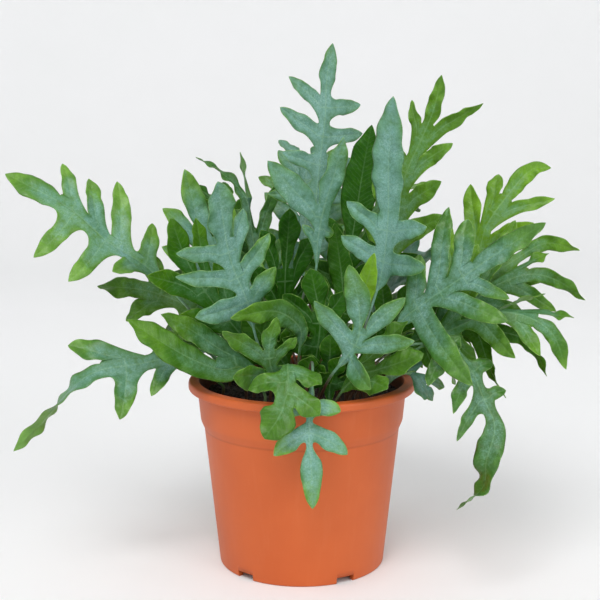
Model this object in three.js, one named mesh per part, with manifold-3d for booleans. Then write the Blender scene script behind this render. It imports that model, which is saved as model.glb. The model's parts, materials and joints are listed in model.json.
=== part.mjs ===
// A blue star fern standing in its plastic nursery pot.
// Millimetres, +Z up, the plant's front towards -Y.
// The origin is the middle of the pot's underside, on the surface that the pot stands on.
import * as THREE from 'three';
import { mergeVertices } from 'three/addons/utils/BufferGeometryUtils.js';
import Module from 'manifold-3d';

const wasm = await Module();
wasm.setup();

// ---------------------------------------------------------------- driving dimensions

const GAP = 0.3; // clearance wherever two pieces meet

const POT = {
  rimRadius: 95,
  height: 157,
  lipDepth: 7, // height of the turned-out lip
  collarTop: 87.5, // radius of the band under the lip
  collarFoot: 85,
  collarFootHeight: 124,
  stepRadius: 82, // where the step under the band meets the wall
  stepHeight: 117,
  footRadius: 70,
  wall: 1.8,
  floorUnder: 3, // the floor's underside is raised, so the pot drains
  floorTop: 5,
  footRingWidth: 5,
  padRadius: 19.5, // the flat pad in the middle of the underside
  edge: 1.4, // size of the small chamfers
  sectors: 40,
};
const FLOOR_ROUND = 2; // the corner inside the pot, between floor and wall
const NOTCH = { count: 5, first: -41.5, width: 16, height: 5.5 }; // drain notches in the foot
const DRAIN = { count: 5, first: 0, radius: 4, ring: 42, sectors: 8 }; // holes in the floor

const SOIL_TOP = 142;
const SOIL_LUMP = 0.8; // how far the surface rises and falls
const SOIL_SECTORS = 28;
const SOIL_RINGS = [58, 28]; // radii of the rings of points on the surface

const FOOT_DEPTH = 12; // how deep a stalk stands in the soil
const FOOT_CLEAR = 9; // straight height of a stalk over the soil
const HOLE = { radius: 2.1, sectors: 6 };

const STALK_HALF = 1.3; // half the width of a stalk
const WING = [4.5, 6.5]; // half the leaf strip along the rib, at the first and at the last lobes
const RIB_THICK = 1.05; // half the thickness at the rib
const LOBE_THICK = 0.7; // half the thickness along the middle of a lobe
const CARRY_STEPS = 12; // steps in which the upper face is carried along a stalk
const ROOM_SHARE = 0.42; // how much of the way to its neighbour a lobe may fill
const BOW_BACK = 0.1; // how far a lobe's axis bows towards the stalk, as a share of its length
const BOW_UP = 0.06; // how far it bows up
const FIRST_MOST = 0.5; // the strip takes no more than this share of a lobe's length
const LOBE_SECTIONS = [0, 0.34, 0.64, 0.88]; // shares of a lobe's length
const END_SECTIONS = [0.12, 0.34, 0.62, 0.86]; // shares of the end lobe's length

// The fronds are laid out as they are seen by an eye in front of the plant. A place is
// [across, height, depth]: where the line of sight crosses the upright plane through the
// pot's axis, and how far behind that plane (in front of it, if negative) the point lies.
const EYE = new THREE.Vector3(0, -1037, 396);

// ---------------------------------------------------------------- the fronds seen from the front

// foot: where the stalk stands, x and y. rib: places from the stalk to the tip.
// blade: the shares of the rib's length where the lobes start and where the end lobe starts.
// left, right: lobes from the lowest up, each as the place of its tip, its width and its twist
// in degrees. The sides are those of a frond that points up and shows its upper face.
// wing: half the leaf strip along the rib, at the first and at the last lobes, if not WING.
const FRONDS = [
  {
    name: 'frond_far_left', foot: [-40, -6],
    rib: [[-72, 190, -6], [-105, 228, -8], [-131, 253, -10], [-160, 272, -12], [-190, 299, -14],
      [-243, 328, -20]],
    blade: [0.50, 0.84], end: 22, turn: 0, wing: [6, 8],
    left: [[-156, 249, -38, 17, 0], [-193, 240, -46, 17, 0], [-222, 259, -42, 16, 0]],
    right: [[-123, 288, 10, 15, 0], [-151, 323, 16, 17, 0], [-174, 325, 14, 16, 0],
      [-195, 338, 4, 13, 0]],
  },
  {
    name: 'frond_left_behind', foot: [-34, 14],
    rib: [[-62, 188, 16], [-92, 216, 22], [-128, 231, 28], [-170, 235, 30]],
    blade: [0.46, 0.8], end: 22, turn: 40, wing: [6, 8],
    left: [[-108, 188, 6, 18, 0], [-147, 206, 10, 18, 0]],
    right: [[-95, 258, 36, 18, 0], [-127, 262, 40, 18, 0]],
  },
  {
    name: 'frond_low_left', foot: [-46, -22],
    rib: [[-70, 178, -28], [-103, 176, -36], [-136, 169, -46], [-171, 163, -56], [-189, 152, -62],
      [-216, 123, -70], [-245, 93, -80]],
    blade: [0.34, 0.62], end: 22, turn: 150, wing: [6, 7.5],
    left: [[-127, 142, -64, 13, 0], [-154, 121, -74, 18, 0]],
    right: [[-130, 200, -24, 18, 0], [-196, 185, -48, 21, 0]],
  },
  {
    name: 'frond_left_broad', foot: [-30, -36],
    rib: [[-50, 166, -48], [-66, 164, -56], [-88, 171, -66], [-115, 186, -76], [-146, 207, -84]],
    blade: [0.26, 0.48], end: 30, turn: 0, wing: [8, 11],
    left: [],
    right: [[-118, 211, -56, 22, 0]],
  },
  {
    name: 'frond_blue_left', foot: [-20, -46],
    rib: [[-38, 190, -62], [-46, 223, -70], [-58, 253, -78], [-64, 282, -88], [-69, 322, -104]],
    blade: [0.46, 0.77], end: 27, turn: 0, wing: [5, 8],
    left: [[-88, 208, -88, 19, 0], [-104, 242, -96, 14, 0], [-104, 262, -98, 14, 0]],
    right: [[-21, 251, -62, 17, 0], [-26, 279, -68, 15, 0], [-47, 299, -80, 16, 0]],
  },
  {
    name: 'frond_left_back', foot: [-16, 2],
    rib: [[-40, 200, 6], [-62, 240, 8], [-82, 280, 6], [-96, 332, 0]],
    blade: [0.40, 0.74], end: 23, turn: 0,
    left: [[-98, 236, -10, 20, 0], [-116, 268, -8, 20, 0], [-114, 300, -8, 19, 0]],
    right: [[-34, 262, 26, 20, 0], [-56, 302, 24, 20, 0]],
  },
  {
    name: 'frond_left_twisted', foot: [-6, 22],
    rib: [[-20, 205, 34], [-36, 245, 42], [-41, 280, 46], [-46, 308, 48], [-66, 329, 48],
      [-87, 342, 46]],
    blade: [0.42, 0.76], end: 12, turn: 60,
    left: [[-72, 266, 26, 18, 0], [-84, 298, 32, 18, 0]],
    right: [[-6, 282, 60, 18, 0], [-20, 322, 60, 13, 20], [-50, 346, 64, 12, 20]],
  },
  {
    name: 'frond_top', foot: [4, 30],
    rib: [[8, 240, 38], [12, 310, 46], [16, 349, 52], [19, 375, 56], [20, 404, 61], [25, 433, 66]],
    blade: [0.54, 0.86], end: 16, turn: 0, wing: [6, 5],
    left: [[-28, 312, 30, 15, 0], [-16, 346, 38, 14, 0], [-18, 382, 46, 15, 0],
      [-10, 407, 52, 13, 0]],
    right: [[42, 310, 64, 15, 0], [48, 338, 72, 14, 0], [51, 361, 74, 14, 0],
      [48, 384, 76, 14, 0]],
  },
  {
    name: 'frond_fork', foot: [-2, -12],
    rib: [[-2, 196, -16], [2, 230, -20], [11, 246, -24], [13, 274, -27], [18, 300, -30],
      [27, 330, -34], [34, 358, -38]],
    blade: [0.59, 0.76], end: 20, turn: 0, wing: [3, 7],
    left: [[1, 286, -36, 8, 0], [-27, 338, -54, 23, 0]],
    right: [[27, 279, -18, 9, 0]],
  },
  {
    name: 'frond_big_blue', foot: [36, -24],
    rib: [[54, 205, -36], [66, 245, -44], [71, 290, -52], [71, 339, -62], [74, 391, -78]],
    blade: [0.46, 0.65], end: 28, turn: 0, wing: [7, 9.5],
    left: [[32, 277, -40, 16, 0], [36, 305, -44, 15, 0]],
    right: [[101, 251, -80, 18, 0], [101, 284, -78, 16, 0]],
  },
  {
    name: 'frond_dark_back', foot: [22, 12],
    rib: [[34, 230, 20], [44, 290, 24], [50, 330, 24], [57, 368, 22]],
    blade: [0.40, 0.60], end: 33, turn: 0, wing: [6, 8],
    left: [[0, 256, 34, 20, 0], [18, 292, 38, 19, 0]],
    right: [[96, 262, 12, 19, 0], [88, 296, 12, 20, 0]],
  },
  {
    name: 'frond_top_right', foot: [40, 0],
    rib: [[60, 226, -2], [77, 284, -4], [85, 327, -8], [97, 355, -12], [107, 380, -18],
      [113, 408, -26]],
    blade: [0.46, 0.86], end: 13, turn: 30, wing: [8, 5],
    left: [[52, 286, 6, 18, 0], [58, 322, 4, 17, 0], [76, 352, 0, 15, 0], [88, 388, -6, 10, 0]],
    right: [[117, 294, -24, 18, 0], [114, 322, -24, 17, 0], [122, 353, -26, 15, 0],
      [147, 386, -30, 13, 60]],
  },
  {
    name: 'frond_right_up', foot: [50, 12],
    rib: [[84, 210, 14], [124, 240, 16], [146, 264, 18], [152, 285, 20], [168, 309, 22],
      [189, 332, 26], [204, 333, 28]],
    blade: [0.47, 0.82], end: 16, turn: 30,
    left: [[118, 292, 32, 18, 0], [138, 320, 36, 18, 0], [160, 329, 36, 17, 0]],
    right: [[168, 240, 2, 17, 0], [191, 288, 0, 18, 0], [208, 308, 12, 12, 0]],
  },
  {
    name: 'frond_right_blue', foot: [44, -42],
    rib: [[78, 200, -54], [105, 223, -62], [134, 243, -68], [158, 260, -72], [179, 274, -78],
      [201, 288, -86]],
    blade: [0.44, 0.72], end: 20, turn: 0, wing: [7, 8],
    left: [[97, 262, -46, 19, 0], [121, 301, -44, 18, 0], [136, 292, -50, 22, 0]],
    right: [[144, 150, -118, 22, 0], [171, 206, -110, 19, 0], [173, 224, -98, 12, 0]],
  },
  {
    name: 'frond_right_mid', foot: [54, -4],
    rib: [[106, 202, -6], [150, 238, -8], [178, 258, -10], [202, 271, -14], [230, 265, -20]],
    blade: [0.46, 0.8], end: 14, turn: 60, wing: [4, 4],
    left: [[146, 270, 4, 16, 0], [176, 290, 0, 16, 0]],
    right: [[168, 214, -26, 16, 0], [198, 238, -28, 16, 0]],
  },
  {
    name: 'frond_right_curl', foot: [50, -20],
    rib: [[104, 196, -26], [142, 222, -32], [166, 238, -36], [190, 245, -38], [212, 240, -42],
      [236, 223, -46]],
    blade: [0.42, 0.78], end: 13, turn: 70,
    left: [[134, 254, -22, 16, 0], [168, 266, -22, 16, 0], [204, 264, -26, 12, 0]],
    right: [[150, 188, -42, 16, 0], [187, 210, -50, 16, 0], [212, 214, -54, 13, 0]],
  },
  {
    name: 'frond_right_low', foot: [46, -32],
    rib: [[94, 180, -46], [132, 202, -58], [162, 213, -68], [186, 210, -74], [209, 195, -80],
      [222, 164, -84]],
    blade: [0.42, 0.80], end: 14, turn: 20,
    left: [[150, 242, -58, 15, 0], [203, 228, -62, 16, 0], [227, 208, -70, 14, 0]],
    right: [[146, 172, -60, 15, 0], [178, 174, -86, 16, 0], [200, 176, -94, 13, 0]],
  },
  {
    name: 'frond_right_under', foot: [38, -30],
    rib: [[76, 176, -36], [112, 196, -40], [152, 198, -44], [187, 190, -50], [199, 174, -52],
      [206, 158, -54]],
    blade: [0.40, 0.72], end: 14, turn: 80,
    left: [[96, 226, -30, 15, 0], [130, 222, -48, 13, 0]],
    right: [[112, 164, -50, 16, 0], [140, 164, -58, 15, 0], [170, 138, -66, 13, 115]],
  },
  {
    name: 'frond_right_hang', foot: [38, -52],
    rib: [[72, 178, -66], [106, 186, -68], [139, 167, -78], [153, 139, -88], [163, 115, -94],
      [157, 84, -98], [155, 62, -100], [132, 41, -106]],
    blade: [0.42, 0.68], end: 23, turn: 128, wing: [4, 6],
    left: [[132, 192, -72, 14, 0], [160, 170, -68, 12, 0], [172, 146, -78, 10, 0]],
    right: [[106, 150, -92, 14, 0], [128, 126, -110, 12, 0], [132, 102, -114, 10, 0]],
  },
  {
    name: 'frond_star', foot: [14, -60],
    rib: [[24, 158, -84], [38, 176, -98], [47, 191, -103], [47, 222, -108], [39, 253, -116]],
    blade: [0.50, 0.68], end: 21, turn: 0, wing: [3.5, 5],
    left: [[10, 223, -108, 16, 0]],
    right: [[57, 147, -114, 20, 0], [94, 188, -114, 16, 0], [86, 225, -112, 15, 0]],
  },
  {
    name: 'frond_front_hang', foot: [2, -68],
    rib: [[8, 170, -80], [9, 160, -101], [7, 132, -108], [6, 106, -114], [8, 76, -119],
      [9, 42, -122]],
    blade: [0.54, 0.74], end: 17, turn: 0, wing: [2.5, 2.5],
    left: [[33, 128, -108, 14, 0], [39, 90, -116, 15, 0]],
    right: [[-14, 126, -107, 11, 0], [-24, 89, -118, 15, 0]],
  },
  {
    name: 'frond_front_left', foot: [-16, -54],
    rib: [[-22, 154, -72], [-27, 171, -84], [-27, 188, -92], [-21, 209, -98]],
    blade: [0.44, 0.74], end: 14, turn: 0, wing: [5, 5],
    left: [[-58, 158, -108, 24, 0], [-67, 197, -104, 17, 0]],
    right: [[-4, 168, -80, 13, 0], [-4, 190, -90, 12, 0]],
  },
  {
    name: 'frond_front_fold', foot: [-6, -40],
    rib: [[-2, 180, -54], [-2, 200, -66], [-22, 214, -78], [-60, 208, -88]],
    blade: [0.52, 0.56], end: 21, turn: 0,
    left: [],
    right: [],
  },
  {
    name: 'frond_low_green', foot: [26, -64],
    rib: [[46, 158, -76], [64, 164, -84], [82, 170, -92], [102, 178, -96]],
    blade: [0.40, 0.62], end: 30, turn: 0, wing: [7, 10],
    left: [[88, 206, -78, 20, 0]],
    right: [[72, 148, -104, 22, 0]],
  },
  {
    name: 'frond_inner_left', foot: [-12, -2],
    rib: [[-14, 200, 0], [-14, 240, -2], [-10, 300, -8]],
    blade: [0.34, 0.70], end: 30, turn: 0, wing: [4.5, 8],
    left: [[-40, 218, -14, 24, 0], [-42, 252, -16, 26, 0], [-34, 282, -16, 24, 0]],
    right: [[12, 210, 10, 24, 0], [14, 244, 8, 26, 0], [8, 276, 4, 24, 0]],
  },
  {
    name: 'frond_inner_right', foot: [16, -14],
    rib: [[26, 190, -8], [34, 222, -4], [27, 288, 2]],
    blade: [0.34, 0.6], end: 22, turn: 0,
    left: [[6, 192, -14, 20, 0], [3, 248, -8, 24, 0]],
    right: [[56, 190, -16, 20, 0], [60, 232, -16, 20, 0]],
  },
  {
    name: 'frond_inner_front', foot: [14, -38],
    rib: [[19, 158, -46], [23, 172, -54], [24, 194, -62]],
    blade: [0.46, 0.68], end: 19, turn: 0,
    left: [[0, 176, -54, 15, 0]],
    right: [[47, 168, -60, 15, 0]],
  },
  {
    name: 'frond_inner_low', foot: [-4, -24],
    rib: [[-12, 164, -26], [-24, 182, -32], [-48, 212, -40]],
    blade: [0.44, 0.68], end: 28, turn: 0,
    left: [[-62, 180, -38, 23, 0]],
    right: [[-6, 202, -30, 19, 0]],
  },
  {
    name: 'frond_left_mid', foot: [-26, -14],
    rib: [[-50, 192, -22], [-76, 224, -30], [-96, 258, -34], [-108, 292, -34]],
    blade: [0.40, 0.74], end: 24, turn: 0, wing: [6, 8],
    left: [[-104, 208, -48, 20, 0], [-128, 244, -46, 20, 0]],
    right: [[-72, 262, -20, 20, 0], [-88, 292, -20, 18, 0]],
  },
  {
    name: 'frond_middle_dark', foot: [6, -26],
    rib: [[12, 176, -32], [15, 206, -38], [7, 250, -44]],
    blade: [0.40, 0.72], end: 26, turn: 0,
    left: [[-16, 190, -44, 20, 0], [-16, 228, -44, 21, 0]],
    right: [[38, 188, -34, 20, 0], [36, 230, -35, 22, 0]],
  },
  {
    name: 'frond_right_inner', foot: [30, -8],
    rib: [[56, 178, -14], [78, 206, -20], [92, 238, -22]],
    blade: [0.42, 0.74], end: 22, turn: 0,
    left: [[56, 216, -32, 16, 0], [67, 242, -28, 16, 0]],
    right: [[104, 190, -16, 18, 0], [116, 222, -20, 18, 0]],
  },
  {
    name: 'frond_middle_low', foot: [22, -50],
    rib: [[24, 154, -54], [27, 162, -58], [33, 175, -62]],
    blade: [0.46, 0.70], end: 18, turn: 0,
    left: [[10, 168, -58, 15, 0]],
    right: [[54, 158, -62, 15, 0]],
  },
  {
    name: 'frond_front_inner', foot: [0, -48],
    rib: [[2, 150, -56], [4, 160, -64], [8, 176, -70]],
    blade: [0.44, 0.68], end: 19, turn: 0, wing: [4, 5],
    left: [[-12, 158, -66, 15, 0]],
    right: [[26, 160, -70, 16, 0]],
  },
  {
    name: 'frond_young', foot: [30, -44],
    rib: [[36, 172, -46], [46, 208, -60], [54, 238, -78], [60, 263, -86]],
    blade: [0.58, 0.62], end: 17, turn: 0, wing: [2.5, 3],
    left: [],
    right: [],
  },
  {
    name: 'frond_rim_hang', foot: [-6, -66],
    rib: [[-10, 160, -80], [-12, 168, -102], [-12, 150, -118], [-18, 126, -125], [-32, 104, -128]],
    blade: [0.54, 0.80], end: 32, turn: 0, wing: [4, 8],
    left: [[17, 152, -118, 18, 0], [15, 124, -126, 20, 0]],
    right: [[-46, 147, -110, 17, 0]],
  },
];

// ---------------------------------------------------------------- the fronds of the far side

// Each row: name; heading, the way the frond leans, in degrees from the front towards the right;
// distance of the foot and of the tip from the pot's axis; height of the crest and of the tip;
// lobes on each side; length of the longest lobe; how far the rib bows sideways.
const FAR_FRONDS = [
  ['frond_far_1', 108, 54, 150, 215, 160, 4, 50, 8],
  ['frond_far_2', 128, 50, 175, 254, 220, 4, 52, -8],
  ['frond_far_3', 136, 44, 155, 304, 286, 4, 48, 0],
  ['frond_far_4', 148, 64, 165, 200, 124, 4, 48, -6],
  ['frond_far_5', 158, 52, 200, 254, 214, 5, 52, 0],
  ['frond_far_6', 180, 46, 165, 334, 314, 5, 50, -4],
  ['frond_far_7', 184, 64, 175, 196, 112, 4, 50, 6],
  ['frond_far_8', 201, 54, 195, 252, 204, 5, 54, 0],
  ['frond_far_9', 221, 56, 150, 303, 290, 4, 39, 4],
  ['frond_far_10', 222, 62, 160, 205, 140, 4, 48, 6],
  ['frond_far_11', 234, 54, 150, 238, 214, 4, 34, -4],
  ['frond_low_1', 60, 68, 120, 172, 152, 3, 34, 0],
  ['frond_low_2', 92, 66, 130, 182, 150, 3, 36, 4],
  ['frond_low_3', 130, 70, 128, 176, 150, 3, 34, 0],
  ['frond_low_4', 166, 70, 130, 180, 152, 3, 34, -4],
  ['frond_low_5', 204, 70, 128, 178, 150, 3, 34, 4],
  ['frond_low_6', 246, 68, 130, 182, 154, 3, 36, 0],
  ['frond_low_7', 274, 66, 110, 174, 166, 3, 32, 0],
];
const FAR_RISE = [[0.12, 0.42], [0.34, 0.80], [0.62, 1]]; // share of the way out, share of the rise
const FAR_DROOP = [0.84, 0.64]; // share of the way out, share of the drop that is still to come
const FAR_END = 18; // width of the end lobe
const FAR_WIDTHS = [19, 15]; // width of the lowest and of the highest lobes
const FAR_LIFT = [0.1, 0.08]; // how far a lobe's tip rises, and how much that varies, by its length
const FAR_BLADE = [0.42, 0.84];
const LOBE_LENGTHS = [0.86, 1, 0.94, 0.8, 0.64]; // from the lowest pair up
const LOBE_ANGLES = [66, 60, 54, 48, 42]; // between a lobe and the rib
const LENGTH_WOBBLE = 0.08; // how much the lengths vary, as a share
const ANGLE_WOBBLE = 5; // how much the angles vary, in degrees

// ---------------------------------------------------------------- small helpers

const vec = (x, y, z) => new THREE.Vector3(x, y, z);
const mix = (a, b, share) => a + (b - a) * share;
const degrees = (angle) => THREE.MathUtils.degToRad(angle);
const across = (v, axis) => v.clone().addScaledVector(axis, -v.dot(axis)).normalize();

// The point at a given depth on the line of sight through a place of the upright plane.
function seen([u, height, depth]) {
  const share = (depth - EYE.y) / -EYE.y;
  return vec(mix(EYE.x, u, share), depth, mix(EYE.z, height, share));
}

function solid(geometry) {
  geometry.deleteAttribute('normal');
  geometry.deleteAttribute('uv');
  const merged = mergeVertices(geometry, 1e-4);
  return new wasm.Manifold(new wasm.Mesh({
    numProp: 3,
    vertProperties: new Float32Array(merged.attributes.position.array),
    triVerts: new Uint32Array(merged.index.array),
  }));
}

function geometryOf(manifold) {
  const mesh = manifold.getMesh();
  const geometry = new THREE.BufferGeometry();
  geometry.setAttribute('position', new THREE.BufferAttribute(mesh.vertProperties, 3));
  geometry.setIndex(new THREE.BufferAttribute(mesh.triVerts, 1));
  return geometry;
}

// ---------------------------------------------------------------- one frond

// Half the width of a lobe, from its foot (0) to its tip (1), as a share of half its width.
function lobeShape(t) {
  return 1.12 * Math.pow(Math.max(0, 1 - Math.pow(t, 2.6)), 0.8) * (0.78 + 0.42 * t);
}

// A closed skin that is put together from numbered points.
class Skin {
  constructor() {
    this.points = [];
    this.faces = [];
  }

  point(v) {
    this.points.push(v.x, v.y, v.z);
    return this.points.length / 3 - 1;
  }

  at(id) {
    return new THREE.Vector3().fromArray(this.points, 3 * id);
  }

  face(a, b, c, flip) {
    if (a === b || b === c || c === a) return;
    if (flip) this.faces.push(a, c, b);
    else this.faces.push(a, b, c);
  }

  // The strip between two rows of points that are each sorted by their place along the rib.
  zip(ridge, edge, flip) {
    let i = 0;
    let j = 0;
    while (i < ridge.length - 1 || j < edge.length - 1) {
      const ridgeNext = i < ridge.length - 1 ? ridge[i + 1].s + ridge[i].s : Infinity;
      const edgeNext = j < edge.length - 1 ? edge[j + 1].s + edge[j].s : Infinity;
      if (ridgeNext <= edgeNext) {
        this.face(ridge[i].id, ridge[i + 1].id, edge[j].id, flip);
        i += 1;
      } else {
        this.face(ridge[i].id, edge[j + 1].id, edge[j].id, flip);
        j += 1;
      }
    }
  }

  geometry() {
    const geometry = new THREE.BufferGeometry();
    geometry.setAttribute('position', new THREE.Float32BufferAttribute(this.points, 3));
    geometry.setIndex(this.faces);
    return geometry;
  }
}

// The axis of a lobe: it leaves the rib, bows back and up a little, and ends in the lobe's tip.
function lobeAxis(root, tip, along) {
  const length = root.distanceTo(tip);
  const bend = root.clone().lerp(tip, 0.5)
    .addScaledVector(along, -BOW_BACK * length)
    .addScaledVector(vec(0, 0, 1), BOW_UP * length);
  return new THREE.QuadraticBezierCurve3(root, bend, tip);
}

// The rib's curve: straight up out of the soil, then through its places.
function ribCurve([x, y], places) {
  const stand = [-FOOT_DEPTH, FOOT_CLEAR / 4, FOOT_CLEAR].map((z) => vec(x, y, SOIL_TOP + z));
  return new THREE.CatmullRomCurve3([...stand, ...places]);
}

// A frond of the far side, by rule: it rises, leans out along its heading and droops.
function farFrond([name, heading, from, reach, peak, tip, pairs, lobe, sway], index) {
  const angle = degrees(heading);
  const out = vec(Math.sin(angle), -Math.cos(angle), 0);
  const level = vec(0, 0, 1).cross(out);
  const spot = (share, height) => out.clone().multiplyScalar(mix(from, reach, share))
    .addScaledVector(level, 4 * sway * share * (1 - share)).setZ(height);
  const [droopAt, droopLeft] = FAR_DROOP;
  const rib = FAR_RISE.map(([share, rise]) => spot(share, mix(SOIL_TOP, peak, rise)));
  rib.push(spot(droopAt, mix(tip, peak, droopLeft)), spot(1, tip));
  const foot = [out.x * from, out.y * from];
  const curve = ribCurve(foot, rib);
  const tipsOf = (side) => Array.from({ length: pairs }, (_, k) => {
    const s = mix(...FAR_BLADE, (k + 0.5) / pairs);
    const along = curve.getTangentAt(s);
    const wide = along.clone().cross(vec(0, 0, 1).addScaledVector(out, 0.2)).normalize();
    const rank = Math.floor((k / pairs) * LOBE_LENGTHS.length);
    const wobble = Math.sin(7 * index + 3 * k + 2 * side);
    const length = lobe * LOBE_LENGTHS[rank] * (1 + LENGTH_WOBBLE * wobble);
    const lean = degrees(LOBE_ANGLES[rank] + ANGLE_WOBBLE * wobble);
    const end = curve.getPointAt(s).addScaledVector(along, length * Math.cos(lean))
      .addScaledVector(wide, side * length * Math.sin(lean));
    end.z += length * (FAR_LIFT[0] + FAR_LIFT[1] * Math.cos(5 * index + 2 * k + side));
    return { tip: end, width: mix(...FAR_WIDTHS, k / pairs), twist: 0 };
  });
  return {
    name, foot, rib, blade: FAR_BLADE, end: FAR_END, turn: 0, left: tipsOf(-1), right: tipsOf(1),
  };
}

// A frond that is laid out by its places, with each place turned into a point.
function laidOut(row) {
  const lobe = ([u, height, depth, width, twist]) => ({ tip: seen([u, height, depth]), width, twist });
  return { ...row, rib: row.rib.map(seen), left: row.left.map(lobe), right: row.right.map(lobe) };
}

function frond({ name, foot, rib, blade, end, turn, left, right, wing = WING }) {
  const curve = ribCurve(foot, rib);
  const at = (s) => curve.getPointAt(s);
  const along = (s) => curve.getTangentAt(s);
  const [start, last] = blade;
  const wingAt = (s) => mix(...wing, (s - start) / (last - start));

  // Each lobe grows from the middle of its own stretch of the rib.
  const lobesOf = (list, side) => list.map(({ tip, width, twist }, k) => {
    const step = (last - start) / list.length;
    const s = start + (k + 0.5) * step;
    const axis = lobeAxis(at(s), tip, along(s));
    const out = across(tip.clone().sub(at(s)), along(s));
    const up = out.clone().cross(along(s)).multiplyScalar(side);
    return { s, from: s - step / 2, to: s + step / 2, tip, axis, out, up, width, twist, side };
  });
  const lobes = { left: lobesOf(left, -1), right: lobesOf(right, 1) };
  const axes = [...lobes.left, ...lobes.right].map(({ axis }) => axis.getPoints(16).slice(1));
  const ribPoints = curve.getSpacedPoints(80);

  // How far the blade may reach from a centre to one side before it comes too near to the
  // middle line of another lobe or of the rib.
  const room = (centre, outward, own) => {
    const others = axes.filter((_, k) => k !== own).flat();
    if (own >= 0) others.push(...ribPoints);
    return others.reduce((least, point) => {
      const away = point.clone().sub(centre);
      const facing = away.dot(outward);
      return facing > 0 ? Math.min(least, ROOM_SHARE * away.lengthSq() / facing) : least;
    }, Infinity);
  };

  // The way the upper face looks: the mean of the lobes, carried down the stalk and to the tip.
  const face = vec(0, 0, 0);
  [...lobes.left, ...lobes.right].forEach((lobe) => face.add(lobe.up));
  if (face.lengthSq() === 0) face.set(0, -0.8, 0.6);
  face.normalize();
  const carried = (s) => {
    const edge = THREE.MathUtils.clamp(s, start, last);
    let up = across(face, along(edge));
    for (let k = 1; k <= CARRY_STEPS; k += 1) up = across(up, along(mix(edge, s, k / CARRY_STEPS)));
    return up;
  };
  const sideAt = (s, side) => {
    let out = along(s).clone().cross(carried(s)).normalize();
    if (s > last) out.applyAxisAngle(along(s), degrees(turn) * (s - last) / (1 - last));
    out.multiplyScalar(side);
    const list = side < 0 ? lobes.left : lobes.right;
    const near = list.filter((lobe) => s >= lobe.from - 1e-6 && s <= lobe.to + 1e-6);
    if (near.length && s > start && s < last) {
      out = across(near.reduce((sum, lobe) => sum.add(lobe.out), vec(0, 0, 0)), along(s));
    }
    return out;
  };

  // Stations along the rib.
  const soilLine = (FOOT_DEPTH + FOOT_CLEAR / 4) / curve.getLength();
  const stalk = [0, ...[0, 0.3, 0.65].map((share) => mix(soilLine, start, share))];
  const steps = Math.max(left.length, right.length, 2);
  const middle = Array.from({ length: steps + 1 }, (_, k) => mix(start, last, k / steps));
  const tail = END_SECTIONS.map((share) => mix(last, 1, share));
  const halfAt = (s, side) => {
    if (s <= start) return STALK_HALF;
    if (s <= last) return wingAt(s);
    const t = (s - last) / (1 - last);
    const half = mix(wing[1], 0.5 * end * lobeShape(t), THREE.MathUtils.smoothstep(t, 0, 0.3));
    return Math.min(half, Math.max(room(at(s), sideAt(s, side), -1), STALK_HALF));
  };
  const thickAt = (s) => (s <= start ? STALK_HALF : mix(RIB_THICK, LOBE_THICK, (s - start) / (1 - start)));

  const skin = new Skin();
  const tipId = skin.point(at(1));
  const row = (stations, place) => stations.map((s) => ({ s, id: skin.point(place(s)) }));
  const upAt = (s) => sideAt(s, 1).cross(along(s)).normalize();
  const tipOf = { s: 1, id: tipId };
  const ridge = [...stalk, ...middle, ...tail];
  const top = [...row(ridge, (s) => at(s).addScaledVector(upAt(s), thickAt(s))), tipOf];
  const under = [...row(ridge, (s) => at(s).addScaledVector(upAt(s), -thickAt(s))), tipOf];

  for (const side of [-1, 1]) {
    const list = side < 0 ? lobes.left : lobes.right;
    const edgePoint = (s) => skin.point(at(s).addScaledVector(sideAt(s, side), halfAt(s, side)));
    const edgeTop = stalk.map((s) => ({ s, id: edgePoint(s) }));
    edgeTop.push({ s: start, id: edgePoint(start) });
    const edgeUnder = [...edgeTop];
    for (const lobe of list) {
      const back = edgeTop[edgeTop.length - 1].id;
      const front = edgePoint(lobe.to);
      const base = skin.at(back).lerp(skin.at(front), 0.5);
      const first = Math.min(wingAt(lobe.s) / lobe.tip.clone().sub(at(lobe.s)).dot(lobe.out), FIRST_MOST);
      // Each cross-section runs: back margin, middle of the upper face, front margin, middle below.
      const own = (side < 0 ? 0 : lobes.left.length) + list.indexOf(lobe);
      const sections = LOBE_SECTIONS.map((share) => {
        const t = mix(first, 1, share);
        const heading = lobe.axis.getTangent(t);
        const centre = share === 0 ? base : lobe.axis.getPoint(t);
        const up = across(lobe.up, heading).applyAxisAngle(heading, degrees(lobe.twist) * share);
        const wide = heading.clone().cross(up).multiplyScalar(-lobe.side);
        const full = 0.5 * lobe.width * lobeShape(share);
        const frontHalf = Math.min(full, room(centre, wide, own));
        const backHalf = Math.min(full, room(centre, wide.clone().negate(), own));
        const thick = mix(LOBE_THICK + 0.1, LOBE_THICK - 0.1, share);
        const middleTop = skin.point(centre.clone().addScaledVector(up, thick));
        const middleUnder = skin.point(centre.clone().addScaledVector(up, -thick));
        if (share === 0) return [back, middleTop, front, middleUnder];
        return [
          skin.point(centre.clone().addScaledVector(wide, -backHalf)), middleTop,
          skin.point(centre.clone().addScaledVector(wide, frontHalf)), middleUnder,
        ];
      });
      const tip = skin.point(lobe.tip);
      sections.push([tip, tip, tip, tip]);
      for (let k = 0; k < sections.length - 1; k += 1) {
        const [b0, t0, f0, u0] = sections[k];
        const [b1, t1, f1, u1] = sections[k + 1];
        const left = side < 0;
        for (const [outer, mid, outerNext, midNext, flip] of [
          [b0, t0, b1, t1, left], [f0, t0, f1, t1, !left],
          [b0, u0, b1, u1, !left], [f0, u0, f1, u1, left],
        ]) {
          skin.face(outer, outerNext, midNext, flip);
          skin.face(outer, midNext, mid, flip);
        }
      }
      edgeTop.push({ s: lobe.s, id: sections[0][1] }, { s: lobe.to, id: front });
      edgeUnder.push({ s: lobe.s, id: sections[0][3] }, { s: lobe.to, id: front });
    }
    if (!list.length) {
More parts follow.
